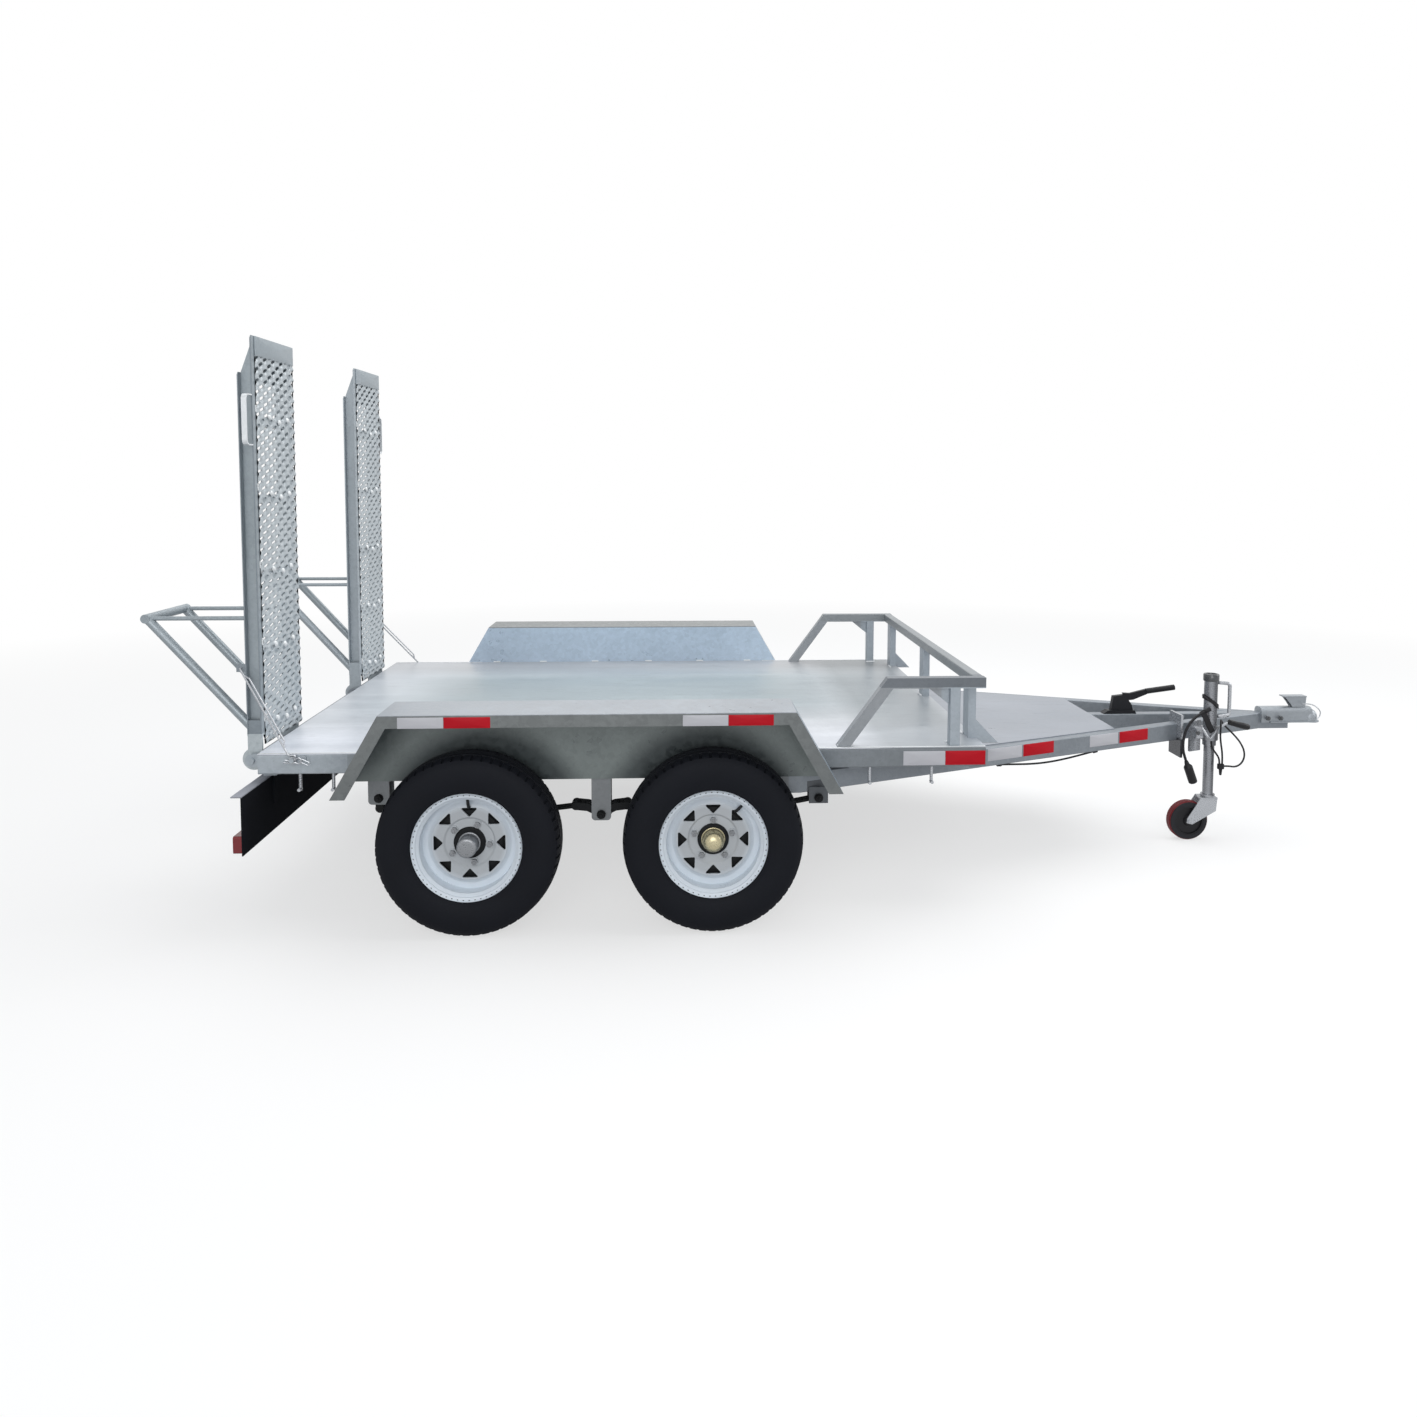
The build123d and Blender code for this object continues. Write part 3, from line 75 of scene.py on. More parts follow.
camera_data = bpy.data.cameras.new("camera")
camera = bpy.data.objects.new("camera", camera_data)
bpy.context.scene.collection.objects.link(camera)
camera_data.sensor_width = 36
camera_data.lens = 26.671
camera_data.shift_x = -0.0191
camera_data.shift_y = -0.1137
YAW, PITCH, ROLL = 0.05084, 0.06927, 0.00262
camera.matrix_world = (Matrix.Translation((ahead(0.32357), -4.77206, 1.63589))
                       @ Matrix.Rotation(-YAW, 4, "Z") @ Matrix.Rotation(math.pi / 2 - PITCH, 4, "X")
                       @ Matrix.Rotation(ROLL, 4, "Z"))
bpy.context.scene.camera = camera


# ---- shader words ----

class Value:
    """One output socket of a shader node; arithmetic on it adds Math nodes."""

    def __init__(self, finish, socket):
        self.finish = finish
        self.socket = socket

    def __add__(self, other):
        return self.finish.math("ADD", self, other)

    def __sub__(self, other):
        return self.finish.math("SUBTRACT", self, other)

    def __rsub__(self, other):
        return self.finish.math("SUBTRACT", other, self)

    def __mul__(self, other):
        return self.finish.math("MULTIPLY", self, other)

    def __pow__(self, other):
        return self.finish.math("POWER", self, other)

    __radd__ = __add__
    __rmul__ = __mul__


class Finish:
    """A material in the making."""

    def __init__(self, name):
        self.material = bpy.data.materials.new(name)
        self.material.use_nodes = True
        self.tree = self.material.node_tree
        self.tree.nodes.clear()
        self.place = self.node("ShaderNodeTexCoord", output="Object")

    def node(self, kind, settings=None, inputs=None, output=0):
        """Adds a node: its settings first, then the value or link of each socket; returns one output."""
        made = self.tree.nodes.new(kind)
        for key, value in (settings or {}).items():
            setattr(made, key, value)
        for key, value in (inputs or {}).items():
            if isinstance(value, Value):
                self.tree.links.new(value.socket, made.inputs[key])
            else:
                made.inputs[key].default_value = value
        return Value(self, made.outputs[output])

    def math(self, operation, first, second):
        return self.node("ShaderNodeMath", {"operation": operation}, {0: first, 1: second})

    def stretched(self, x, y, z):
        """The place, scaled by x, y and z."""
        return self.node("ShaderNodeVectorMath", {"operation": "MULTIPLY"}, {0: self.place, 1: (x, y, z)})

    def axis(self, letter):
        """The place's X, Y or Z as a number."""
        return self.node("ShaderNodeSeparateXYZ", None, {0: self.place}, output="XYZ".index(letter))

    def noise(self, scale, detail=2.0, rough=0.5, place=None, distortion=0.0):
        """Cloudy noise, from about 0.2 to 0.8."""
        return self.node("ShaderNodeTexNoise", None,
                         {"Vector": place or self.place, "Scale": scale, "Detail": detail, "Roughness": rough,
                          "Distortion": distortion})

    def cells(self, scale, place=None):
        """Voronoi cells, each with a random shade."""
        made = self.node("ShaderNodeTexVoronoi", None, {"Vector": place or self.place, "Scale": scale}, "Color")
        return self.node("ShaderNodeSeparateColor", None, {0: made})

    def span(self, value, low, high, start=0.0, end=1.0):
        """start below low, end above high, straight between."""
        return self.node("ShaderNodeMapRange", {"clamp": True},
                         {"Value": value, "From Min": low, "From Max": high, "To Min": start, "To Max": end})

    def mix(self, share, first, second):
        """first where share is 0, second where it is 1; both are colours."""
        pair = {key: ((*c, 1.0) if isinstance(c, tuple) else c) for key, c in ((6, first), (7, second))}
        return self.node("ShaderNodeMix", {"data_type": "RGBA"}, {0: share, **pair}, output=2)

    def within(self, box):
        """1 inside a box of axis: (low, high, softness), 0 outside.

        The axis "A" is the distance from the trailer's middle plane."""
        share = 1.0
        for letter, (low, high, *soft) in box.items():
            place = self.axis("Y" if letter == "A" else letter)
            if letter == "A":
                place = self.node("ShaderNodeMath", {"operation": "ABSOLUTE"}, {0: place})
            if letter == "X":
                low, high = ahead(low), ahead(high)
            soft = soft[0] if soft else 0.0004
            share = share * self.span(place, low - soft, low + soft)
            share = share * self.span(place, high - soft, high + soft, 1, 0)
        return share

    def near(self, x, z, low, high):
        """1 within a distance low of an axis along Y at (x, z), 0 beyond high."""
        gap = (self.axis("X") - ahead(x)) ** 2.0 + (self.axis("Z") - z) ** 2.0
        return self.span(gap ** 0.5, low, high, 1.0, 0.0)

    def tinted(self, color, tints):
        """The colour multiplied by each tint's factor inside its box, or near an axis inside the box."""
        for factor, box, *axis in tints:
            share = self.within(box)
            if axis:
                share = share * self.near(*axis)
            color = self.node("ShaderNodeMix", {"data_type": "RGBA", "blend_type": "MULTIPLY"},
                              {0: share, 6: color, 7: (*factor, 1.0)}, output=2)
        return color

    def bump(self, height, distance, strength):
        """A normal tilted by a height pattern."""
        return self.node("ShaderNodeBump", None, {"Height": height, "Distance": distance, "Strength": strength})

    def surface(self, color, roughness, metallic=0.0, normal=None, **constants):
        """Ends the material in a Principled surface."""
        inputs = {"Base Color": (*color, 1.0) if isinstance(color, tuple) else color, "Roughness": roughness,
                  "Metallic": metallic}
        inputs.update({key.replace("_", " "): value for key, value in constants.items()})
        if normal:
            inputs["Normal"] = normal
        shader = self.node("ShaderNodeBsdfPrincipled", None, inputs)
        self.end_with(shader)
        return self.material

    def end_with(self, shader, output="ShaderNodeOutputMaterial"):
        """Links a shader to the output of the material or the world."""
        target = self.tree.nodes.new(output)
        self.tree.links.new(shader.socket, target.inputs[0])


# ---- finishes ----

def galvanised(name, dark, light, spangle, contrast=0.35, metallic=0.45, rough=0.42, run=(1, 1, 1), tints=(),
               depth=0.0006):
    """Hot-dip zinc: spangle cells, cloudy mottling, faint runs and small dull specks; the tints paint light and shade
    in by place.
    """
    f = Finish(name)
    wander = f.node("ShaderNodeTexNoise", None, {"Vector": f.place, "Scale": 0.6 / spangle, "Detail": 2.0},
                    output="Color")
    warped = f.node("ShaderNodeVectorMath", {"operation": "ADD"},
                    {0: f.place, 1: f.node("ShaderNodeVectorMath", {"operation": "SCALE"},
                                           {0: wander, "Scale": 0.5 * spangle})})
    cell = f.cells(1 / spangle, warped)
    fine = f.cells(3.1 / spangle, warped)
    cloud = f.noise(5.0, 4.0, 0.6, f.stretched(*run))
    cloud_low = f.noise(1.3, 3.0, 0.5, f.stretched(*run))
    speck = f.span(f.noise(55.0, 3.0, 0.7), 0.62, 0.75)
    share = ((cell - 0.5) * contrast + (fine - 0.5) * contrast * 0.4 + (cloud - 0.5) * 0.7
             + (cloud_low - 0.5) * 0.9 + 0.5)
    color = f.mix(f.span(share, 0.0, 1.0), dark, light)
    color = f.tinted(f.mix(speck * 0.35, color, tuple(0.75 * c for c in dark)), tints)
    roughness = f.span(cell * 0.5 + cloud * 0.5 + speck * 0.3, 0.2, 0.9, rough - 0.09, rough + 0.13)
    height = cell * 0.15 + cloud * 0.5 + f.noise(90.0, 2.0) * 0.35
    return f.surface(color, roughness, metallic, f.bump(height, depth, 0.5))


def plain(name, color, rough, metallic=0.0, variation=0.12, grain=160.0, depth=0.0002, shine=0.5, tints=()):
    """A coat of one colour with a cloudy tone and a fine grain."""
    f = Finish(name)
    cloud = f.noise(7.0, 4.0, 0.6)
    low = tuple(c * (1 - variation) for c in color)
    high = tuple(min(1.0, c * (1 + variation)) for c in color)
    tone = f.tinted(f.mix(f.span(cloud, 0.3, 0.7), low, high), tints)
    grained = f.noise(grain, 2.0, 0.6)
    return f.surface(tone, f.span(grained + cloud * 0.5, 0.4, 1.1, rough - 0.06, rough + 0.08), metallic,
                     f.bump(grained, depth, 0.6), Specular_IOR_Level=shine)


def deck_finish():
    """Galvanised sheet: long smears along the trailer, blotches and scuffs, with light and shade painted in by place.
    """
    f = Finish("deck sheet")
    smear = f.noise(3.0, 5.0, 0.62, f.stretched(0.35, 2.2, 1), 0.6)
    blotch = f.noise(2.1, 4.0, 0.55)
    scuff = f.span(f.noise(9.0, 6.0, 0.75, f.stretched(0.5, 3.0, 1), 0.4), 0.56, 0.72)
    cell = f.cells(55.0)
    share = (smear - 0.5) * 1.3 + (blotch - 0.5) * 0.9 + (cell - 0.5) * 0.12 + 0.5
    color = f.mix(f.span(share, 0.0, 1.0), (0.40, 0.425, 0.455), (0.60, 0.615, 0.64))
    color = f.tinted(f.mix(scuff * 0.45, color, (0.37, 0.37, 0.38)), DECK_PAINTED_SHADING)
    roughness = f.span(smear + scuff * 0.3 + cell * 0.15, 0.3, 0.95, 0.27, 0.50)
    height = smear * 0.4 + f.noise(26.0, 4.0, 0.6) * 0.35 + cell * 0.05
    return f.surface(color, roughness, 0.35, f.bump(height, 0.0012, 0.45))


# Painted light and shade by place: (factor, box[, x, z, near, far]) lists, with places in metres from the axles'
# middle; each factor lightens or darkens a finish where light or shade falls.
OUTSIDE = {"A": (0.9338, 1.3), "Z": (0.40, 0.8035)}
# Painted light and shade on the frame's bars: the side rails' outer faces darker, the rear corners nearly twice as
# light, the parts below the rails darker, and the front spring hanger's place much darker.
FRAME_PAINTED_SHADING = [((0.80, 0.80, 0.78), {"A": (0.925, 1.0), "X": (-0.90, 1.6), "Z": (0.53, 0.614)}),
               ((1.90, 1.90, 1.85), {"A": (0.78, 1.3), "X": (-1.6, -0.93, 0.1), "Z": (0.50, 0.70)}),
               ((0.85, 0.82, 0.78), {"A": (0.86, 1.0), "X": (-1.0, 0.72), "Z": (0.3, 0.511)}),
               ((0.35, 0.35, 0.35), {"A": (0.86, 1.0), "X": (0.79, 0.88), "Z": (0.3, 0.49)})]
# Painted light and shade on the mudguards: the inner sheets' inward faces lighter as painted reflection of the lit
# deck and sky, their outward sides and the lips darker as painted shade, the tops lighter as painted light, less so on
# the left guard.
GUARD_PAINTED_SHADING = [((1.80, 1.82, 1.85), {"A": (0.90, 0.9338), "Z": (0.40, 0.802)}),
               ((0.70, 0.67, 0.56), {"A": (0.9338, 0.94), "Z": (0.40, 0.802)}),
               ((0.68, 0.61, 0.52), {"A": (1.1600, 1.3), "Z": (0.40, 0.8035)}),
               ((1.45, 1.30, 1.20), {"A": (0.90, 1.3), "Z": (0.8035, 0.82)}),
               ((0.55, 0.54, 0.50), {"Y": (0.90, 1.3), "Z": (0.8035, 0.82)}),
               # Painted shadow of the tyres: soft dark arcs on the inner sheet's outside over each wheel.
               ((0.30, 0.32, 0.34), OUTSIDE, 0.407, 0.325, 0.345, 0.42),
               ((0.30, 0.32, 0.34), OUTSIDE, -0.407, 0.325, 0.345, 0.42)]
# Painted light and shade on the headboard's bars: darker above z 0.84, the near top rail darker still, and below z
# 0.84 darker from x 0.8 to 1.3 and lighter from 1.3 to 1.56.
BAR_PAINTED_SHADING = [((0.72, 0.72, 0.70), {"Z": (0.84, 1.2)}),
             ((0.62, 0.64, 0.68), {"Y": (-1.0, -0.85), "Z": (0.84, 0.8885)}),
             ((0.80, 0.79, 0.78), {"X": (0.8, 1.30, 0.02), "Z": (0.60, 0.84)}),
             ((1.10, 1.14, 1.16), {"X": (1.30, 1.56), "Z": (0.60, 0.84)})]
# Painted shade on the bright zinc: the jockey stand's tube darker with its +X side darker still, the head plate nearly
# black and the zinc round the clamp grip black.
ZINC_PAINTED_SHADE = [((0.60, 0.60, 0.61), {"X": (2.655, 2.725), "Z": (0.20, 0.80, 0.02)}),
              ((0.40, 0.40, 0.41), {"X": (2.692, 2.725, 0.006), "Z": (0.20, 0.735)}),
              ((0.12, 0.12, 0.13), {"X": (2.535, 2.56), "Z": (0.30, 0.462, 0.004)}),
              ((0.03, 0.03, 0.03), {"X": (2.765, 2.90), "Z": (0.48, 0.56)})]
# Painted light and shade on the ramps' steel: a dark line along the right ramp's outer edge, lighter from y 0.30 to
# 0.50, and much lighter at the hinge lugs by the ramps' outer feet as painted highlight.
WEB_PAINTED_SHADING = [((0.72, 0.73, 0.75), {"Y": (-0.812, -0.800), "Z": (0.66, 3.0)}),
             ((1.14, 1.12, 1.12), {"Y": (0.30, 0.50)}),
             ((1.5, 1.45, 1.40), {"A": (0.77, 0.83), "Z": (0.5, 0.66)})]
# Painted light and shade on the deck: darker ahead of and just behind the headboard, darker in the middle, the left
# edge darker as painted shade under the guard, the rear end and the right edge lighter.
DECK_PAINTED_SHADING = [((0.58, 0.60, 0.64), {"X": (1.468, 2.4)}), ((0.66, 0.68, 0.68), {"X": (1.05, 1.468, 0.06)}),
              ((0.60, 0.68, 0.69), {"X": (-0.95, 1.05, 0.3), "Y": (-0.35, 0.62, 0.2)}),
              ((0.78, 0.77, 0.76), {"Y": (0.65, 1.0, 0.1)}), ((1.25, 1.25, 1.26), {"X": (-1.3, -0.85, 0.15)}),
              ((1.16, 1.16, 1.18), {"Y": (-1.0, -0.60, 0.15), "X": (-1.3, 1.468)})]
FINISHES = {
    "galvanised": galvanised("galvanised bar", (0.16, 0.18, 0.20), (0.27, 0.295, 0.325), 0.012, 0.25, 0.3,
                             tints=FRAME_PAINTED_SHADING),
    "deck_steel": deck_finish(),
    "guard_sheet": galvanised("guard sheet", (0.17, 0.205, 0.245), (0.27, 0.325, 0.38), 0.016, 0.3, 0.3, 0.36,
                              tints=GUARD_PAINTED_SHADING),
    "bar_steel": galvanised("headboard bar", (0.25, 0.275, 0.30), (0.38, 0.405, 0.435), 0.010, 0.25, 0.3,
                            tints=BAR_PAINTED_SHADING),
    "coupling_steel": galvanised("coupling casting", (0.22, 0.24, 0.26), (0.38, 0.41, 0.44), 0.006, 0.2),
    "bright_zinc": galvanised("bright zinc", (0.36, 0.37, 0.39), (0.50, 0.52, 0.55), 0.004, 0.06, 0.6, 0.28,
                              tints=ZINC_PAINTED_SHADE, depth=0.00006),
    # Painted shade: a near-black copy of the zinc, used for the clamp rods, the jockey cap ring and bolts that stand
    # in shade.
    "dark_zinc": galvanised("zinc in painted shade", (0.05, 0.052, 0.056), (0.12, 0.125, 0.13), 0.004, 0.15, 0.4, 0.30),
    "ramp_steel": galvanised("ramp steel", (0.25, 0.29, 0.315), (0.39, 0.435, 0.465), 0.012, 0.3, 0.3,
                             tints=WEB_PAINTED_SHADING),
    # Painted light and shade on the light board: its near-black tone is partly its dark steel and partly painted shade
    # under the deck, and the band along its top edge, 32 times lighter, is a painted highlight.
    "board_steel": plain("light board sheet", (0.010, 0.011, 0.014), 0.85, shine=0.04,
                         tints=[((32.0, 30.0, 26.0), {"Z": (0.5065, 0.52)})]),
    "black_paint": plain("black paint", (0.010, 0.011, 0.014), 0.45, shine=0.25),
    "axle_black": plain("running gear black", (0.008, 0.009, 0.010), 0.55, shine=0.15),
    "tyre_rubber": plain("tyre rubber", (0.0085, 0.0095, 0.013), 0.62, shine=0.10),
    # Painted shade on the rims: the barrel and the disc's back, inside the disc's outer face, nearly black so the
    # windows look dark, and the disc round the hub darker as painted shade in its recess.
    "rim_white": plain("rim enamel", (0.72, 0.78, 0.84), 0.30, variation=0.04, depth=0.0001,
                       tints=[((0.03, 0.03, 0.035), {"A": (0.5, WHEEL_FACE)}),
                              ((0.66, 0.64, 0.62), {"A": (WHEEL_FACE, 1.3)}, AXLE_X, WHEEL_Z, 0.118, 0.154),
                              ((0.66, 0.64, 0.62), {"A": (WHEEL_FACE, 1.3)}, -AXLE_X, WHEEL_Z, 0.118, 0.154)]),
    "jockey_red": plain("jockey tyre red", (0.15, 0.012, 0.016), 0.55, shine=0.3,
                        tints=[((0.06, 0.8, 0.8), {"Y": (-0.4, -0.2545, 0.0008)}),
                               ((0.06, 0.8, 0.8), {"Y": (-0.2155, -0.1, 0.0008)})]),
    "black_plastic": plain("black plastic", (0.010, 0.010, 0.012), 0.45, shine=0.25),
    "cable_black": plain("cable sheath", (0.010, 0.010, 0.012), 0.50, shine=0.25),
    "lamp_red": plain("lamp lens", (0.20, 0.010, 0.014), 0.18),
    "nut_steel": galvanised("wheel nut", (0.16, 0.17, 0.18), (0.34, 0.35, 0.37), 0.003, 0.2, 0.5, 0.32),
    "cap_zinc": galvanised("yellow zinc", (0.42, 0.37, 0.22), (0.62, 0.56, 0.38), 0.006, 0.25, 0.7, 0.28),
    "mesh_steel": galvanised("mesh", (0.36, 0.40, 0.425), (0.52, 0.56, 0.585), 0.010, 0.3, 0.3, 0.38),
    "weld_steel": galvanised("weld", (0.55, 0.57, 0.58), (0.80, 0.82, 0.83), 0.003, 0.3, 0.2, 0.40),
    # Painted highlight: a much lighter copy of the ramp steel for the ramps' handles, standing for the light they
    # catch.
    "handle_highlight_steel": galvanised("ramp handle highlight", (0.66, 0.69, 0.71), (0.84, 0.86, 0.88), 0.008, 0.2, 0.3, 0.35),
    "tape_white": plain("white tape", (0.56, 0.56, 0.59), 0.45, variation=0.03, shine=0.3),
    "tape_red": plain("red tape", (0.50, 0.004, 0.014), 0.5, variation=0.04, shine=0.2),
}
# The ramps' handles take the painted-highlight copy of the ramp steel.
HIGHLIGHTED_HANDLES = {"right_ramp_handle": "handle_highlight_steel", "left_ramp_handle": "handle_highlight_steel"}
for entry in frame["record"]["subparts"]:
    mesh = nodes[entry["node"]].data
    mesh.materials.clear()
    mesh.materials.append(FINISHES[HIGHLIGHTED_HANDLES.get(entry["node"], entry["material_slot"])])


# ---- cords ----

def cord_curve(name, route, diameter):
    """A round cord on one NURBS spline whose control points are the route, in metres from the axles' middle."""
    curve = bpy.data.curves.new(name, "CURVE")
    curve.dimensions = "3D"
    spline = curve.splines.new("NURBS")
    spline.points.add(len(route) - 1)
    for point, (x, y, z) in zip(spline.points, route):
        point.co = (ahead(x), y, z, 1.0)
    spline.order_u = 3
    spline.use_endpoint_u = True
    spline.resolution_u = 8
    curve.resolution_u = 8
    curve.bevel_depth = diameter / 2
    curve.bevel_resolution = 5
    curve.use_fill_caps = True
    curve.materials.append(FINISHES["cable_black"])
    made = bpy.data.objects.new(name, curve)
    bpy.context.scene.collection.objects.link(made)
    return made


LEAD_ROUTE = [(2.648, -0.275, 0.590), (2.620, -0.276, 0.577), (2.592, -0.277, 0.555), (2.569, -0.278, 0.526),
              (2.555, -0.278, 0.492), (2.549, -0.278, 0.456), (2.550, -0.277, 0.421), (2.556, -0.276, 0.395),
              (2.567, -0.275, 0.366)]
LINE_ROUTE = [(2.684, -0.2675, 0.455), (2.684, -0.2675, 0.434), (2.692, -0.271, 0.414), (2.706, -0.275, 0.395),
              (2.718, -0.277, 0.374), (2.718, -0.277, 0.352)]
LOOP_ROUTE = [(2.731, -0.277, 0.352), (2.731, -0.277, 0.380), (2.7285, -0.277, 0.410), (2.7235, -0.276, 0.440),
              (2.720, -0.2755, 0.467), (2.7195, -0.275, 0.491), (2.7215, -0.2725, 0.514), (2.727, -0.262, 0.534),
              (2.7355, -0.2445, 0.543), (2.7465, -0.228, 0.5375), (2.7585, -0.2195, 0.5215), (2.775, -0.2175, 0.5045),
              (2.792, -0.2175, 0.489), (2.810, -0.2185, 0.471), (2.829, -0.221, 0.450), (2.844, -0.226, 0.427),
              (2.853, -0.234, 0.402), (2.851, -0.244, 0.376), (2.836, -0.255, 0.353), (2.812, -0.266, 0.340),
              (2.787, -0.274, 0.337), (2.762, -0.277, 0.342), (2.738, -0.277, 0.342)]
for name, route, diameter, length, end, companions, node in (
        ("lead_cord", LEAD_ROUTE, 0.012, 0.268, "plug", ["lead_plug"], "lead"),
        ("breakaway_line_cord", LINE_ROUTE, 0.008, 0.112, "fitting", ["breakaway_ferrule"], "breakaway_line"),
        ("breakaway_loop_cord", LOOP_ROUTE, 0.008, 0.565, "object", [], "breakaway_loop")):
    piece = cord_curve(name, route, diameter)
    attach(piece, "chassis")
    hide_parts(node)
    x, y, z = route[0]
    ahead(x)


SLOTS = {entry["slot"] for entry in frame["record"]["materials"]}


# ---- surfaces ----

def put(name, grids, finish, body, crease=32, merge=True, replaces=None, slot=None):
    """One piece from grids of points (copies..., rows, columns, 3), in metres from the axles' middle.

    Each cell of a grid is a quad between neighbours; a closed grid that faces inwards is turned round."""
    corners, offset, places = [], 0, []
    for grid in grids:
        grid = np.asarray(grid, float)
        rows, columns = grid.shape[-3:-1]
        copies = grid.reshape(-1, rows * columns, 3)
        row, column = np.arange(rows - 1)[:, None], np.arange(columns - 1)[None, :]
        beyond, beside = row + 1, column + 1
        quad = np.stack(np.broadcast_arrays(row * columns + column, row * columns + beside,
                                            beyond * columns + beside, beyond * columns + column), -1).reshape(-1, 4)
        a, b, c, d = (copies[0][quad[:, i]] - copies[0].mean(axis=0) for i in range(4))
        if (np.cross(a, b) * c).sum() + (np.cross(a, c) * d).sum() < 0:
            quad = quad[:, ::-1]
        corners.append((quad[None] + offset + np.arange(len(copies))[:, None, None] * rows * columns).reshape(-1, 4))
        offset += len(copies) * rows * columns
        places.append(copies.reshape(-1, 3))
    points = np.concatenate(places) + (WHEEL_MIDDLE, 0, 0)
    faces = np.concatenate(corners)
    mesh = bpy.data.meshes.new(name)
    mesh.from_pydata(points, [], faces)
    if merge:
        tidy = bmesh.new()
        tidy.from_mesh(mesh)
        bmesh.ops.remove_doubles(tidy, verts=tidy.verts, dist=1e-6)
        tidy.to_mesh(mesh)
        tidy.free()
    mesh.polygons.foreach_set("use_smooth", np.ones(len(mesh.polygons), bool))
    mesh.set_sharp_from_angle(angle=math.radians(crease))
    mesh.materials.append(FINISHES[finish])
    piece = bpy.data.objects.new(name, mesh)
    bpy.context.scene.collection.objects.link(piece)
    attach(piece, body)
    slot or (finish if finish in SLOTS else "galvanised")
    if replaces:
        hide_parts(replaces)
    return piece


def unit(vectors):
    """Each vector over its length."""
    return vectors / np.linalg.norm(vectors, axis=-1, keepdims=True)


def frames_along(path):
    """Two unit vectors across a path at each of its points: side = direction x axis, up = side x direction."""
    direction = unit(np.gradient(path, axis=0))
    axis = np.eye(3)[np.abs(direction).max(axis=0).argmin()]
    side = unit(np.cross(direction, axis))
    return side, np.cross(side, direction)


def curved(points, steps=7):
    """A Catmull-Rom curve: between points 1 and 2, (2 p1 + (p2 - p0) t + (2 p0 - 5 p1 + 4 p2 - p3) t^2
    + (3 p1 - p0 - 3 p2 + p3) t^3) / 2, with the ends' neighbours mirrored."""
    p = np.asarray(points, float)
    p = np.vstack([2 * p[0] - p[1], p, 2 * p[-1] - p[-2]])
    t = np.linspace(0, 1, steps, endpoint=False)[None, :, None]
    p0, p1, p2, p3 = (p[i:len(p) - 3 + i, None] for i in range(4))
    run = (2 * p1 + (p2 - p0) * t + (2 * p0 - 5 * p1 + 4 * p2 - p3) * t ** 2
           + (3 * p1 - p0 - 3 * p2 + p3) * t ** 3) / 2
    return np.vstack([run.reshape(-1, 3), p[-2]])


def tube(path, radius, sides=10):
    """Point (i, a) = path(i) + radius(i) (cos a side(i) + sin a up(i)), closed by a point at each end."""
    path = np.asarray(path, float)
    side, up = frames_along(path)
    radius = np.broadcast_to(np.asarray(radius, float), len(path))
    angle = np.linspace(0, 2 * np.pi, sides + 1)[None, :, None]
    around = np.cos(angle) * side[:, None] + np.sin(angle) * up[:, None]
    rings = path[:, None] + radius[:, None, None] * around
    return np.concatenate([np.broadcast_to(path[0], (1, sides + 1, 3)), rings,
                           np.broadcast_to(path[-1], (1, sides + 1, 3))])


def turned(profile, centre, axis, sides=32):
    """A profile of (radius, along) points turned about an axis: centre + axis along + radius (cos a, sin a)."""
    profile = np.asarray(profile, float)
    axis = unit(np.asarray(axis, float))
    first = unit(np.cross(axis, np.eye(3)[np.abs(axis).argmin()]))
    second = np.cross(axis, first)
    angle = np.linspace(0, 2 * np.pi, sides + 1)[None, :, None]
    around = np.cos(angle) * first + np.sin(angle) * second
    return np.asarray(centre) + profile[:, 1, None, None] * axis + profile[:, 0, None, None] * around


def pad(centre, half, along=(1, 0, 0), up=(0, 0, 1), bevel=0.001):
    """A slab with rounded corners and edges: half = (along, across, up); its outline is a rounded rectangle,
    drawn in by the bevel at its two faces, which close at their middles."""
    along, up = unit(np.asarray(along, float)), unit(np.asarray(up, float))
    across = np.cross(up, along)
    angle = np.linspace(0, 2 * np.pi, 17)[:-1] + np.pi / 16
    angle = np.append(angle, angle[0])
    corner = np.stack([np.sign(np.cos(angle)), np.sign(np.sin(angle))], -1)
    around = np.stack([np.cos(angle), np.sin(angle)], -1)
    inset = np.array([0, bevel, 0.3 * bevel, 0, 0, 0.3 * bevel, bevel, 0])[:, None, None]
    share = np.array([0, 1, 1, 1, 1, 1, 1, 0])[:, None, None]
    height = np.array([1, 1, 1 - 0.3 * bevel / half[2], 1 - bevel / half[2]])
    height = np.concatenate([height, -height[::-1]]) * half[2]
    round_off = min(2 * bevel, 0.6 * min(half[:2]))
    flat = share * (corner * (np.array(half[:2]) - round_off) + around * (round_off - inset))
    return (np.asarray(centre) + flat[..., :1] * along + flat[..., 1:] * across + height[:, None, None] * up)


def bolt(centre, axis, across, height, stud=0.0, flats=6):
    """A hexagon head with a chamfer and a low dome or stud on it; its radius round the axis is
    half the width across flats over cos(angle to the nearest flat)."""
    angle = np.linspace(0, 2 * np.pi, 4 * flats + 1)
    half = across / 2
    hexagon = half / np.cos((angle + np.pi / flats) % (2 * np.pi / flats) - np.pi / flats)
    low = np.minimum(hexagon, half * 1.04)
    core = np.full_like(angle, half * 0.5)
    rings = [(0 * angle, -0.002), (hexagon, -0.002), (hexagon, height * 0.8), (low, height), (core, height),
             (core, height + stud), (core * 0.75, height + stud + 0.001), (0 * angle, height + stud + 0.001)]
    axis = unit(np.asarray(axis, float))
    first = unit(np.cross(axis, np.eye(3)[np.abs(axis).argmin()]))
    second = np.cross(axis, first)
    around = np.cos(angle)[:, None] * first + np.sin(angle)[:, None] * second
    return np.stack([np.asarray(centre) + h * axis + r[:, None] * around for r, h in rings])


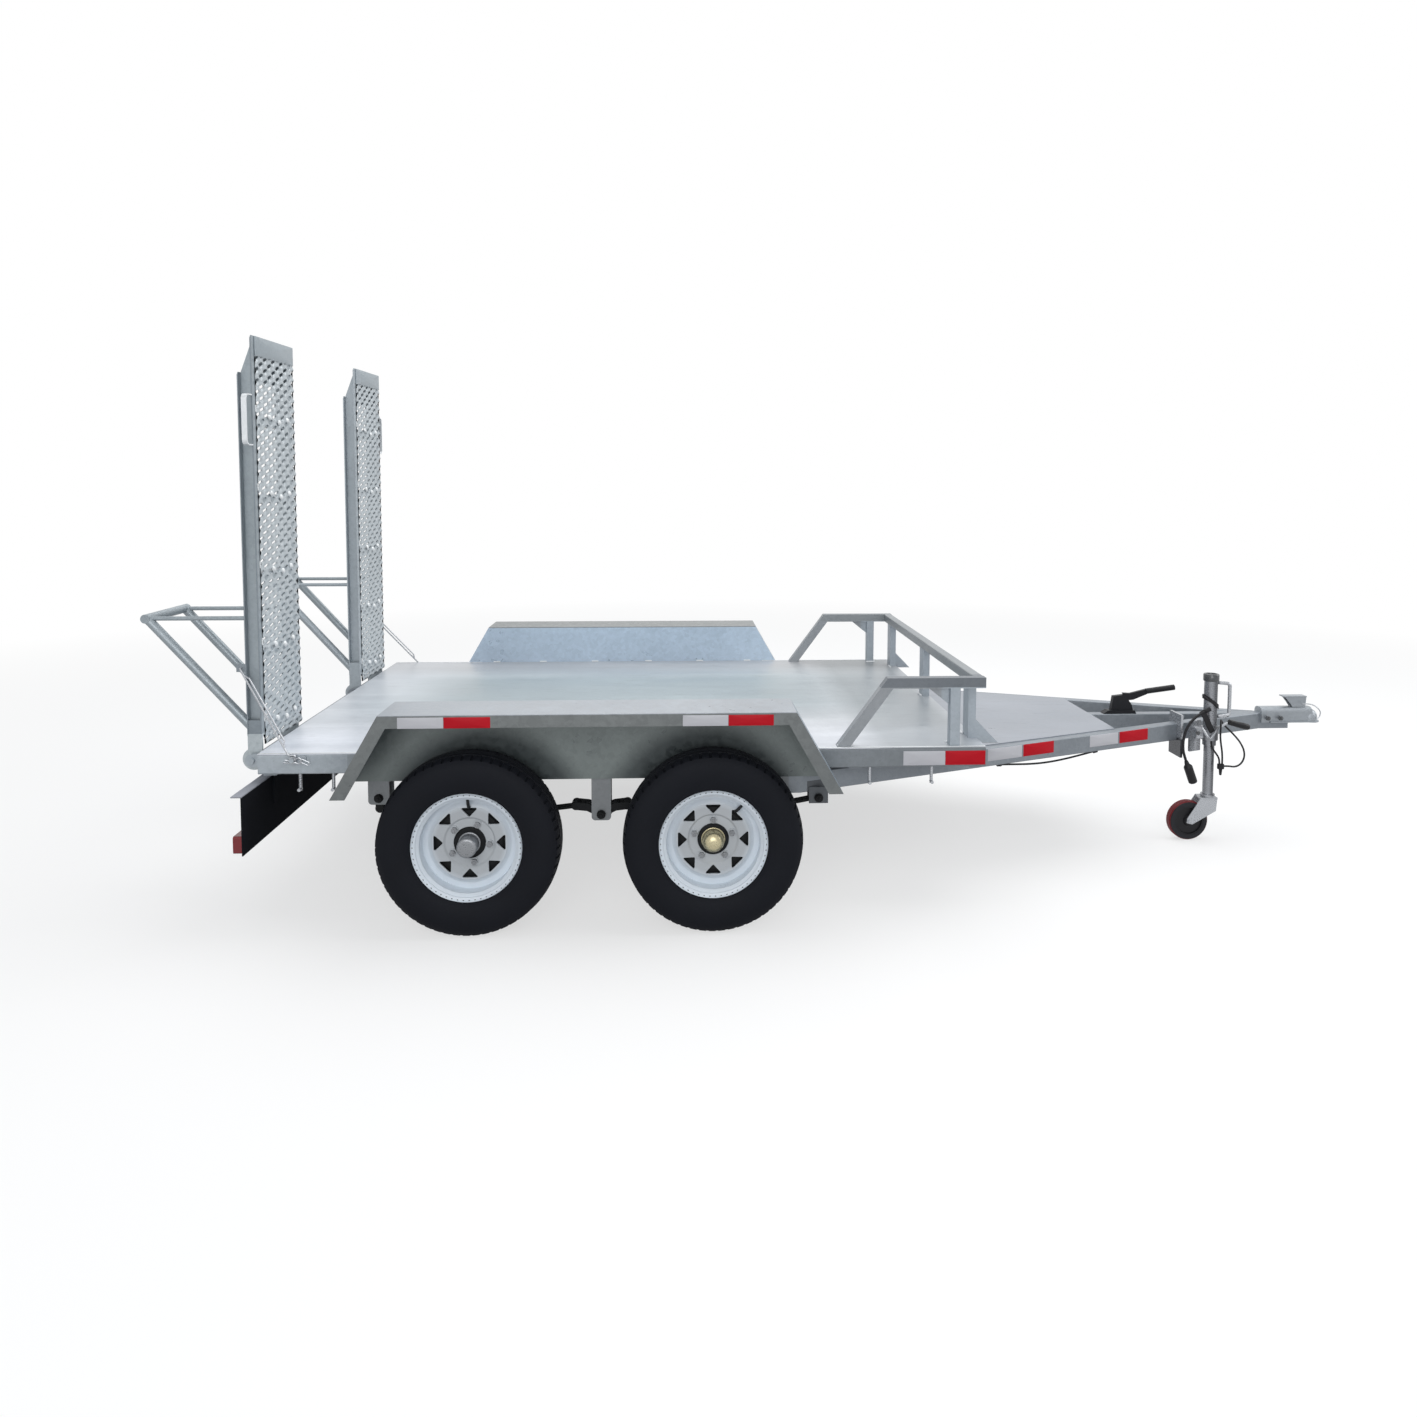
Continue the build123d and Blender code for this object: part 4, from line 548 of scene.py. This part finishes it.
def bead(start, end, radius, ripples=None):
    """A weld run: a tube whose radius is r (0.8 + 0.2 |sin(ripples pi s)|) at a share s of its length."""
    start, end = np.asarray(start, float), np.asarray(end, float)
    length = np.linalg.norm(end - start)
    ripples = ripples or max(3, round(length / 0.006))
    s = np.linspace(0, 1, 4 * ripples + 1)
    return tube(start + (end - start) * s[:, None], radius * (0.8 + 0.2 * np.abs(np.sin(ripples * np.pi * s))), 8)


def mirrored(grid):
    """The grid on the left side: (x, -y, z)."""
    return np.asarray(grid) * (1, -1, 1)


def both(grids):
    """The pieces and their twins on the left side."""
    return grids + [mirrored(grid) for grid in grids]


# ---- tyres ----

TYRE_RADIUS, SHOULDER, INNER_RIB, GROOVE = 0.325, 0.0735, 0.0395, 0.008


def tyre_grid(centre, pitches=58):
    """A lathe about Y: (x, y, z) = centre + (r cos a, w, r sin a) with r from the profile, less the grooves'
    depth; shoulder notches sink r over a quarter of every pitch."""
    side = curved([(0.178, 0, 0.062), (0.186, 0, 0.071), (0.196, 0, 0.0745), (0.212, 0, 0.0845), (0.234, 0, 0.0905),
                   (0.258, 0, 0.0925), (0.282, 0, 0.0905), (0.300, 0, 0.085), (0.3135, 0, 0.0765)], 4)[:, (0, 2)]
    ribs = []
    for low, high in ((SHOULDER, INNER_RIB), (0.0325, 0.0115), (0.0035, -0.0035), (-0.0115, -0.0325),
                      (-INNER_RIB, -SHOULDER)):
        ribs += [(low, 1), (high, 1)]
        if high != -SHOULDER:
            ribs += [(high - 0.0012, 0), (high - 0.0058 if high > 0 else high - 0.0068, 0)]
    across = np.array([y for y, _ in ribs])
    crown = TYRE_RADIUS - 0.0085 * (np.abs(across) / SHOULDER) ** 3
    radius = np.concatenate([side[:, 0], np.where([top for _, top in ribs], crown, crown - GROOVE), side[::-1, 0]])
    width = np.concatenate([side[:, 1], across, -side[::-1, 1]])
    radius, width = np.append(radius, radius[0]), np.append(width, width[0])
    shoulder = np.abs(np.abs(width) - SHOULDER) < 0.0005
    inner_rib = (np.abs(np.abs(width) - INNER_RIB) < 0.0005) & (radius > TYRE_RADIUS - GROOVE)
    pitch = np.arange(pitches)[:, None] + np.array([0.0, 0.70, 0.74, 0.96])[None, :]
    angle = np.append(pitch.ravel(), pitches) * 2 * np.pi / pitches
    notch = np.append(np.tile([0, 0, 1, 1], pitches), 0)[None, :]
    depth = notch * (0.006 * shoulder + 0.0045 * inner_rib)[:, None]
    r = radius[:, None] - depth
    grid = np.stack([r * np.cos(angle), np.broadcast_to(width[:, None], r.shape), r * np.sin(angle)], -1)
    return np.asarray(centre) + grid


WHEELS = {f"{end}_{side}": centre_of(f"{end}_{side}_tyre") - (WHEEL_MIDDLE, 0, 0)
          for end in ("front", "rear") for side in ("right", "left")}
DISC_FACE, STUD_CIRCLE, CAP_REACH = 0.012, 0.071, 0.066
NUT_TURNS = {"front": (90, 18, -54, -126, 162), "rear": (67, -5, -77, -149, 139)}
for wheel, middle in WHEELS.items():
    body = f"{wheel}_wheel"
    out = np.array([0, np.sign(middle[1]), 0])
    face = middle + out * DISC_FACE
    put(f"{wheel}_tyre_tread", [tyre_grid(middle)], "tyre_rubber", body, 40, replaces=f"{wheel}_tyre")
    turns = np.radians(NUT_TURNS[wheel.split("_")[0]])
    studs = [face + STUD_CIRCLE * np.array([np.cos(a), 0, np.sin(a)]) for a in turns]
    put(f"{wheel}_nuts", [bolt(stud + out * 0.001, out, 0.020, 0.013, 0.003) for stud in studs], "nut_steel", body)
    put(f"{wheel}_nut_seats", [turned([(0, 0.0), (0.0155, 0.0), (0.0145, 0.003), (0, 0.003)], stud, out, 20)
                               for stud in studs], "rim_white", body)
    lift = np.radians({"front": 52, "rear": 90}[wheel.split("_")[0]])
    away = np.array([np.cos(lift), 0, np.sin(lift)])
    stem = [(0.124, -0.006), (0.130, 0.008), (0.139, 0.019), (0.152, 0.026), (0.163, 0.030)]
    put(f"{wheel}_valve", [tube(curved([middle + out * (DISC_FACE + side) + away * reach for reach, side in stem], 4),
                                np.interp(np.arange(17), [0, 2, 9, 10, 16], [0.0075, 0.0065, 0.0055, 0.0062, 0.0055]),
                                12)], "black_plastic", body)
    # A near-black band behind the disc's windows: it stands for the brake drum and partly paints the shade seen
    # through the windows.
    put(f"{wheel}_drum_and_shade_band", [turned([(0.108, -0.002), (0.156, -0.002), (0.158, -0.004), (0.158, -0.016),
                                       (0.156, -0.018), (0.108, -0.018), (0.108, -0.002)], middle, out, 48)],
        "axle_black", body)
    tip = middle + out * (DISC_FACE + CAP_REACH)
    if wheel.startswith("front"):
        cap = [(0, -0.008), (0.012, -0.0085), (0.022, -0.0115), (0.031, -0.019), (0.0375, -0.030), (0.0395, -0.0365),
               (0.0405, -0.040), (0.0405, -0.056), (0.043, -0.0575), (0.043, -0.060), (0, -0.060)]
    else:
        cap = [(0, 0.001), (0.026, 0.001), (0.031, 0.0), (0.0345, -0.003), (0.0355, -0.006), (0.0355, -0.054),
               (0.039, -0.056), (0.039, -0.059), (0, -0.059)]
    put(f"{wheel}_cap", [turned(cap, tip, out, 40)], "cap_zinc" if wheel.startswith("front") else "nut_steel", body)


# ---- ramps ----

MESH_LONG, MESH_SHORT = 0.080, 0.042
OPEN_LONG, OPEN_SHORT, STRAND_LEAN = 0.0170, 0.0088, 0.0048


def ramp_mesh(low, high, foot, tip, face):
    """Expanded metal: diamond cells of half size (long/2, short/2), every other column raised by half a cell.
    Ring k of a cell is a share s between its edge and its opening: y = s y_opening + (1 - s) y_edge, the same
    for z, and x = face + lean s sin(angle), so that each strand tilts. Past the sheet's edges, points stay on them."""
    angle = np.linspace(0, 2 * np.pi, 17)
    cos, sin = np.cos(angle), np.sin(angle)
    edge = 1 / (np.abs(cos) + np.abs(sin))
    opening = (np.abs(cos) ** 1.25 + np.abs(sin) ** 1.25) ** -0.8
    share = np.array([0, 0.85, 1.0, 1.0, 0.85, 0, 0])[:, None]
    back = np.array([0, 0.0003, 0.0012, 0.0033, 0.0040, 0.0040, 0])[:, None]
    y = (1 - share) * edge * cos * MESH_LONG / 2 + share * opening * cos * OPEN_LONG
    z = (1 - share) * edge * sin * MESH_SHORT / 2 + share * opening * sin * OPEN_SHORT
    x = STRAND_LEAN * share * sin - back
    columns = np.arange(-1, int((high - low) / (MESH_LONG / 2)) + 2)
    rows = np.arange(-1, int((tip - foot) / MESH_SHORT) + 2)
    middle_y = high - columns[:, None] * MESH_LONG / 2
    middle_z = foot + rows[None, :] * MESH_SHORT + (columns[:, None] % 2) * MESH_SHORT / 2
    cells = np.stack(np.broadcast_arrays(face - 0.003 + x, middle_y[..., None, None] + y,
                                         middle_z[..., None, None] + z), -1)
    reach_y, reach_z = MESH_LONG / 2, MESH_SHORT / 2
    middle_y, middle_z = np.broadcast_arrays(middle_y, middle_z)
    kept = ((middle_y > low - reach_y + 0.006) & (middle_y < high + reach_y - 0.006)
            & (middle_z > foot - reach_z + 0.003) & (middle_z < tip + reach_z - 0.003))
    cells = cells[kept]
    cells[..., 1] = cells[..., 1].clip(low, high)
    cells[..., 2] = cells[..., 2].clip(foot, tip)
    return cells


RUNGS = (0.667, 0.957, 1.247, 1.537, 1.827)
for side, low, high in (("right", -0.777, -0.401), ("left", 0.431, 0.807)):
    lowest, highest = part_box(f"{side}_ramp_tread")
    face, foot, tip = highest[0] - WHEEL_MIDDLE, lowest[2], highest[2]
    body = f"{side}_ramp"
    put(f"{side}_ramp_mesh", [ramp_mesh(low, high, foot + 0.001, tip - 0.068, face)], "mesh_steel", body, 50, False,
        replaces=f"{side}_ramp_tread", slot="ramp_steel")
    plate = [pad((face - 0.0025, (low + high) / 2, tip - 0.036), ((high - low) / 2, 0.036, 0.0024), (0, 1, 0),
                 (1, 0, 0), 0.0008)]
    put(f"{side}_ramp_tip_plate", plate, "ramp_steel", body)
    welds = [turned([(0, 0.006), (0.007, 0.005), (0.011, 0.002), (0.0125, -0.002), (0, -0.002)],
                    (face, y, z + 0.018 + lift), (1, 0, 0.25), 14)
             for z in RUNGS for y, lift in ((low + 0.118, 0.004), (low + 0.300, 0.0), (low + 0.214, -0.012))]
    welds += [bead((face - 0.004, low - 0.003, z - 0.012), (face - 0.004, low - 0.003, z + 0.014), 0.004)
              for z in np.arange(foot + 0.10, tip - 0.1, 0.29)]
    put(f"{side}_ramp_welds", welds, "weld_steel", body, 60, slot="ramp_steel")


# ---- tapes ----

GUARD_FACE = abs(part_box("mudguards")[0][1])
DECK_FACE = abs(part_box("deck_plate")[0][1])
RAIL_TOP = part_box("drawbar_rails")[1][2]
BEND, MEET, HALF_BAR = 0.774, 3.040, 0.025
SLOPE = (DECK_FACE - HALF_BAR) / (MEET - BEND)


def band(start, end, low, high, face):
    """A tape from start to end along X: a flat slab with rounded corners, standing 0.6 mm proud of y = -face(x)."""
    places = [np.array([x, -face(x), (low + high) / 2]) for x in (start, end)]
    along = places[1] - places[0]
    return pad((places[0] + places[1]) / 2, (np.linalg.norm(along) / 2, (high - low) / 2, 0.0006), along,
               (along[1], -along[0], 0), 0.0004)


def drawbar_face(x):
    """How far out the drawbar's side face is."""
    return DECK_FACE - SLOPE * (x - BEND)


TAPES = {"tape_white": [(-0.656, -0.4995, 0.7605, 0.799, lambda x: GUARD_FACE),
                        (0.325, 0.4835, 0.7605, 0.799, lambda x: GUARD_FACE),
                        (1.152, 1.3105, 0.5475, 0.6015, lambda x: DECK_FACE),
                        (1.568, 1.731, RAIL_TOP - 0.053, RAIL_TOP - 0.003, drawbar_face),
                        (2.072, 2.2205, RAIL_TOP - 0.053, RAIL_TOP - 0.003, drawbar_face)],
         "tape_red": [(-0.4985, -0.339, 0.7605, 0.799, lambda x: GUARD_FACE),
                      (0.4845, 0.643, 0.7605, 0.799, lambda x: GUARD_FACE),
                      (1.3115, 1.464, 0.5475, 0.6015, lambda x: DECK_FACE),
                      (1.738, 1.888, RAIL_TOP - 0.053, RAIL_TOP - 0.003, drawbar_face),
                      (2.2285, 2.382, RAIL_TOP - 0.053, RAIL_TOP - 0.003, drawbar_face)]}
for finish, strips in TAPES.items():
    put(finish + "_strips", both([band(*strip) for strip in strips]), finish, "chassis")


# ---- bolts, pins and welds of the frame ----

hanger_out = abs(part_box("spring_hangers")[0][1])
HANGER_BOLTS = ((0.022, 0.375), (-0.790, 0.447), (0.834, 0.427))
put("hanger_bolts", both([bolt((x, -hanger_out, z), (0, -1, 0), 0.024, 0.011, 0.004) for x, z in HANGER_BOLTS]
                         + [turned([(0, 0.004), (0.0165, 0.004), (0.0165, 0), (0.0155, -0.002), (0, -0.002)],
                                   (x, -hanger_out, z), (0, 1, 0), 24) for x, z in HANGER_BOLTS]),
    "axle_black", "chassis")


def clip(centre, size=1.0):
    """A spring clip: a wire through points round the centre, a leg along the pin and a wavy one beside it."""
    x, y, z = centre
    wire = [(-0.030, 0, 0.002), (-0.012, 0, -0.001), (0.004, 0, 0.003), (0.018, 0, 0.010), (0.028, 0, 0.004),
            (0.026, 0, -0.008), (0.014, 0, -0.010), (0.002, 0, -0.006), (-0.014, 0, -0.009), (-0.034, 0, -0.007)]
    return tube(curved([(x + size * a, y + b, z + size * c) for a, b, c in wire], 5), 0.0022, 8)


def link(start, end, width, radius):
    """A chain link: a wire round a circle of the width, whose two halves are moved apart along the link."""
    start, end = np.asarray(start, float), np.asarray(end, float)
    along = unit(end - start)
    across = unit(np.cross(along, (0, 1, 0)))
    half = np.linalg.norm(end - start) / 2 - width / 2
    angle = np.linspace(0, 2 * np.pi, 25)
    shift = half * np.sign(np.cos(angle))[:, None] * along
    return tube((start + end) / 2 + shift + width / 2 * (np.cos(angle)[:, None] * along
                                                         + np.sin(angle)[:, None] * across), radius, 8)


STAY_PIN = (-1.090, -DECK_FACE - 0.026, 0.597)
put("stay_clips", both([clip(np.array(STAY_PIN) + (0.006, 0, 0.001)),
                        turned([(0.0055, -0.002), (0.013, -0.002), (0.013, 0.001), (0.0055, 0.001)],
                               np.array(STAY_PIN) + (0, 0.006, 0), (0, -1, 0), 20),
                        link(np.array(STAY_PIN) + (0.030, 0.002, 0.002), np.array(STAY_PIN) + (0.062, 0.004, -0.014),
                             0.012, 0.0018)]), "bright_zinc", "chassis")

deck_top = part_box("deck_plate")[1][2]
rail_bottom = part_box("side_rails")[0][2]
FOOT_WELDS = [((0.905, -0.905, deck_top + 0.002), (0.962, -0.905, deck_top + 0.002)),
              ((1.325, -0.862, deck_top + 0.002), (1.372, -0.862, deck_top + 0.002)),
              ((1.426, -0.740, deck_top + 0.002), (1.426, -0.690, deck_top + 0.002)),
              ((1.426, -0.030, deck_top + 0.002), (1.426, 0.030, deck_top + 0.002))]
GUARD_WELDS = [((x, -DECK_FACE + 0.001, deck_top + 0.001), (x + 0.036, -DECK_FACE + 0.001, deck_top + 0.001))
               for x in (-0.70, -0.45, -0.17, 0.12, 0.40, 0.66)]
put("frame_welds", both([bead(start, end, 0.0045) for start, end in FOOT_WELDS + GUARD_WELDS]), "weld_steel",
    "chassis", 60, slot="galvanised")
# Painted highlight: a thin bright strip along each deck edge stands for the light the sheet's edge catches.
put("deck_edge_highlight", both([pad(((-1.219 - 0.7605) / 2, -DECK_FACE + 0.004, deck_top + 0.0006),
                                 (0.2292, 0.0045, 0.0008), (1, 0, 0), (0, 0, 1), 0.0004),
                             pad(((0.7605 + 1.464) / 2, -DECK_FACE + 0.004, deck_top + 0.0006),
                                 (0.3517, 0.0045, 0.0008), (1, 0, 0), (0, 0, 1), 0.0004)]),
    "weld_steel", "chassis", slot="deck_steel")


# ---- springs' clamps ----

SPRING_Y = DECK_FACE - 0.037
SPRING_TOP = 0.350 + 0.008 * 4


def u_bolt(x, y, top):
    """A rod bent under the axle beam: two legs at x -+ 31 mm and a corner of radius 8 mm at each side."""
    corner = np.linspace(0, np.pi / 2, 5)[:, None]
    left = np.array([x - 0.023, y, 0.302]) - 0.008 * (np.cos(corner) * [1, 0, 0] + np.sin(corner) * [0, 0, 1])
    right = left[::-1] * (-1, 1, 1) + (2 * x, 0, 0)
    return tube(np.vstack([[(x - 0.031, y, top)], left, right, [(x + 0.031, y, top)]]), 0.0055, 10)


clamps, rods = [], []
for x in (-AXLE_X, AXLE_X):
    clamps += [pad((x, -SPRING_Y, SPRING_TOP + 0.0045), (0.047, 0.045, 0.0045))]
    for y in (-SPRING_Y - 0.030, -SPRING_Y + 0.030):
        rods += [u_bolt(x, y, SPRING_TOP + 0.030)]
        clamps += [bolt((x + side * 0.031, y, SPRING_TOP + 0.009), (0, 0, 1), 0.019, 0.011) for side in (-1, 1)]
put("spring_clamp_rods", both(rods), "dark_zinc", "chassis", slot="bright_zinc")
put("spring_clamp_plates", both(clamps), "axle_black", "chassis")


# ---- jockey stand's strap, ties and cap ----

TUBE = np.array([2.690, -0.235, 0.0])
put("jockey_cap_ring", [turned([(0.0270, 0.7195), (0.0325, 0.7205), (0.0335, 0.7245), (0.0335, 0.7480),
                                (0.0315, 0.7515), (0.0240, 0.7525), (0.0225, 0.7475), (0, 0.7475), (0, 0.7360),
                                (0.0270, 0.7360), (0.0270, 0.7195)], TUBE, (0, 0, 1), 40)], "dark_zinc", "chassis",
    slot="bright_zinc")


def strap(path, across, width, thick):
    """A flat band along a path. At angle a its section is width/2 |cos a|^0.35 along across and
    thick/2 |sin a|^0.6 along the path's normal, with the signs of cos a and sin a."""
    path = curved(path, 6)
    direction = unit(np.gradient(path, axis=0))
    across = unit(np.asarray(across, float) - (direction @ np.asarray(across, float))[:, None] * direction)
    normal = np.cross(direction, across)
    angle = np.linspace(0, 2 * np.pi, 17)
    wide = np.sign(np.cos(angle)) * np.abs(np.cos(angle)) ** 0.35 * width / 2
    deep = np.sign(np.sin(angle)) * np.abs(np.sin(angle)) ** 0.6 * thick / 2
    rings = path[:, None] + wide[None, :, None] * across[:, None] + deep[None, :, None] * normal[:, None]
    ends = [np.broadcast_to(path[i], (1, 17, 3)) for i in (0, -1)]
    return np.concatenate([ends[0], rings, ends[1]])


put("jockey_straps", [
    strap([(2.632, -0.272, 0.592), (2.648, -0.279, 0.563), (2.662, -0.281, 0.531), (2.680, -0.279, 0.497)],
          (1, 0, 0.45), 0.026, 0.004),
    strap([(2.655, -0.230, 0.645), (2.662, -0.253, 0.640), (2.680, -0.268, 0.628), (2.700, -0.268, 0.613),
           (2.718, -0.252, 0.600), (2.727, -0.232, 0.592)], (0, 0, 1), 0.008, 0.003)], "black_plastic", "chassis")
put("jockey_tie_tail", [tube(curved([(2.668, -0.262, 0.636), (2.652, -0.272, 0.650), (2.630, -0.278, 0.664)], 5),
                             0.0032, 8)], "black_plastic", "chassis")
put("jockey_yoke", [tube(curved([(2.632, -0.279, 0.518), (2.650, -0.286, 0.487), (2.667, -0.288, 0.466)], 5),
                         0.0050, 10),
                    tube(curved([(2.667, -0.288, 0.466), (2.686, -0.287, 0.492), (2.706, -0.283, 0.521)], 5),
                         0.0050, 10)], "bright_zinc", "chassis", slot="bright_zinc")
put("side_plate_bolt", [bolt((2.612, -0.281, 0.495), (0, -1, 0), 0.017, 0.008, 0.003)], "dark_zinc", "chassis",
    slot="bright_zinc")
put("clamp_grip", [tube([(2.771, -0.243, 0.5327), (2.775, -0.243, 0.5316), (2.800, -0.243, 0.5250),
                         (2.835, -0.243, 0.5162), (2.860, -0.243, 0.5098), (2.8665, -0.243, 0.5081)],
                        [0.0095, 0.0115, 0.0125, 0.0142, 0.0142, 0.0110], 16)], "black_plastic", "chassis")


# ---- coupling ----

put("coupling_bail", [tube(curved([(3.236, -0.0375, 0.566), (3.262, -0.0385, 0.5665), (3.290, -0.0385, 0.560),
                                   (3.312, -0.0380, 0.545), (3.325, -0.0375, 0.527), (3.322, -0.0370, 0.506),
                                   (3.312, -0.0360, 0.495)], 6), 0.0026, 8)], "bright_zinc", "chassis")
coupling_half = abs(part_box("coupling_body")[0][1])
put("coupling_bolts", both([bolt((x, -coupling_half, 0.494 + rise), (0, -1, 0), 0.019, 0.009, 0.004)
                            for x, rise in ((3.067, 0.008), (3.128, 0.008))]), "dark_zinc", "chassis",
    slot="coupling_steel")


# ---- cable behind the jockey stand ----

put("drawbar_cable", [tube(curved([(2.535, -0.150, 0.489), (2.560, -0.152, 0.503), (2.586, -0.151, 0.512),
                                   (2.616, -0.148, 0.519)], 6), 0.005, 10)], "cable_black", "chassis")


# ---- floor, light and world ----

def seen(f):
    """1 for a ray from the camera, a reflection or a view through something, 0 for light that spreads."""
    shares = [f.node("ShaderNodeLightPath", output=name)
              for name in ("Is Camera Ray", "Is Glossy Ray", "Is Transmission Ray")]
    return f.node("ShaderNodeMath", {"operation": "ADD", "use_clamp": True}, {0: shares[0] + shares[1], 1: shares[2]})


def blended(f, share, first, second):
    """One shader over to another by a share."""
    return f.node("ShaderNodeMixShader", None, {0: share, 1: first, 2: second})


def studio():
    """A pale floor that fades to white, a wide soft light overhead, weaker ones ahead and in front, a pale world."""
    floor_mesh = bpy.data.meshes.new("floor")
    reach = 60
    floor_mesh.from_pydata([(-reach, -reach, 0), (reach, -reach, 0), (reach, reach, 0), (-reach, reach, 0)], [],
                           [(0, 1, 2, 3)])
    floor = bpy.data.objects.new("floor", floor_mesh)
    bpy.context.scene.collection.objects.link(floor)
    f = Finish("floor")
    looked_at = seen(f)
    distance = f.node("ShaderNodeVectorMath", {"operation": "LENGTH"}, {0: f.place}, output="Value")
    tone = f.mix(looked_at, (0.30, 0.30, 0.31), (0.90, 0.90, 0.90))
    matt = f.node("ShaderNodeBsdfDiffuse", None, {"Color": tone})
    white = f.node("ShaderNodeEmission", None, {"Color": (1, 1, 1, 1), "Strength": 1.0})
    f.end_with(blended(f, looked_at * f.span(distance, 3.0, 9.0, 0.62, 1.0), matt, white))
    floor_mesh.materials.append(f.material)
    for name, place, size, power, aim in (
            ("overhead", (0.5, 1.5, 6.5), 7.0, 400, (0, 0, 0.4)),
            ("ahead", (8.0, -1.0, 4.0), 4.0, 200, (0, 0, 0.8)),
            ("in front", (-1.0, -9.0, 3.5), 6.0, 330, (-0.3, 0, 0.6))):
        data = bpy.data.lights.new(name, "AREA")
        data.size = size
        data.energy = power
        lamp = bpy.data.objects.new(name, data)
        lamp.location = place
        lamp.rotation_mode = "QUATERNION"
        lamp.rotation_quaternion = (Vector(aim) - Vector(place)).to_track_quat("-Z", "Y")
        bpy.context.scene.collection.objects.link(lamp)
    world = bpy.data.worlds.new("studio")
    bpy.context.scene.world = world
    world.use_nodes = True
    sky = Finish.__new__(Finish)
    sky.tree = world.node_tree
    sky.tree.nodes.clear()
    spread = sky.node("ShaderNodeBackground", None, {"Color": (0.90, 0.95, 1.0, 1.0), "Strength": 0.42})
    plain_white = sky.node("ShaderNodeBackground", None, {"Color": (1, 1, 1, 1), "Strength": 1.0})
    sky.end_with(blended(sky, seen(sky), spread, plain_white), "ShaderNodeOutputWorld")
    bpy.context.scene.view_settings.view_transform = "Standard"


studio()
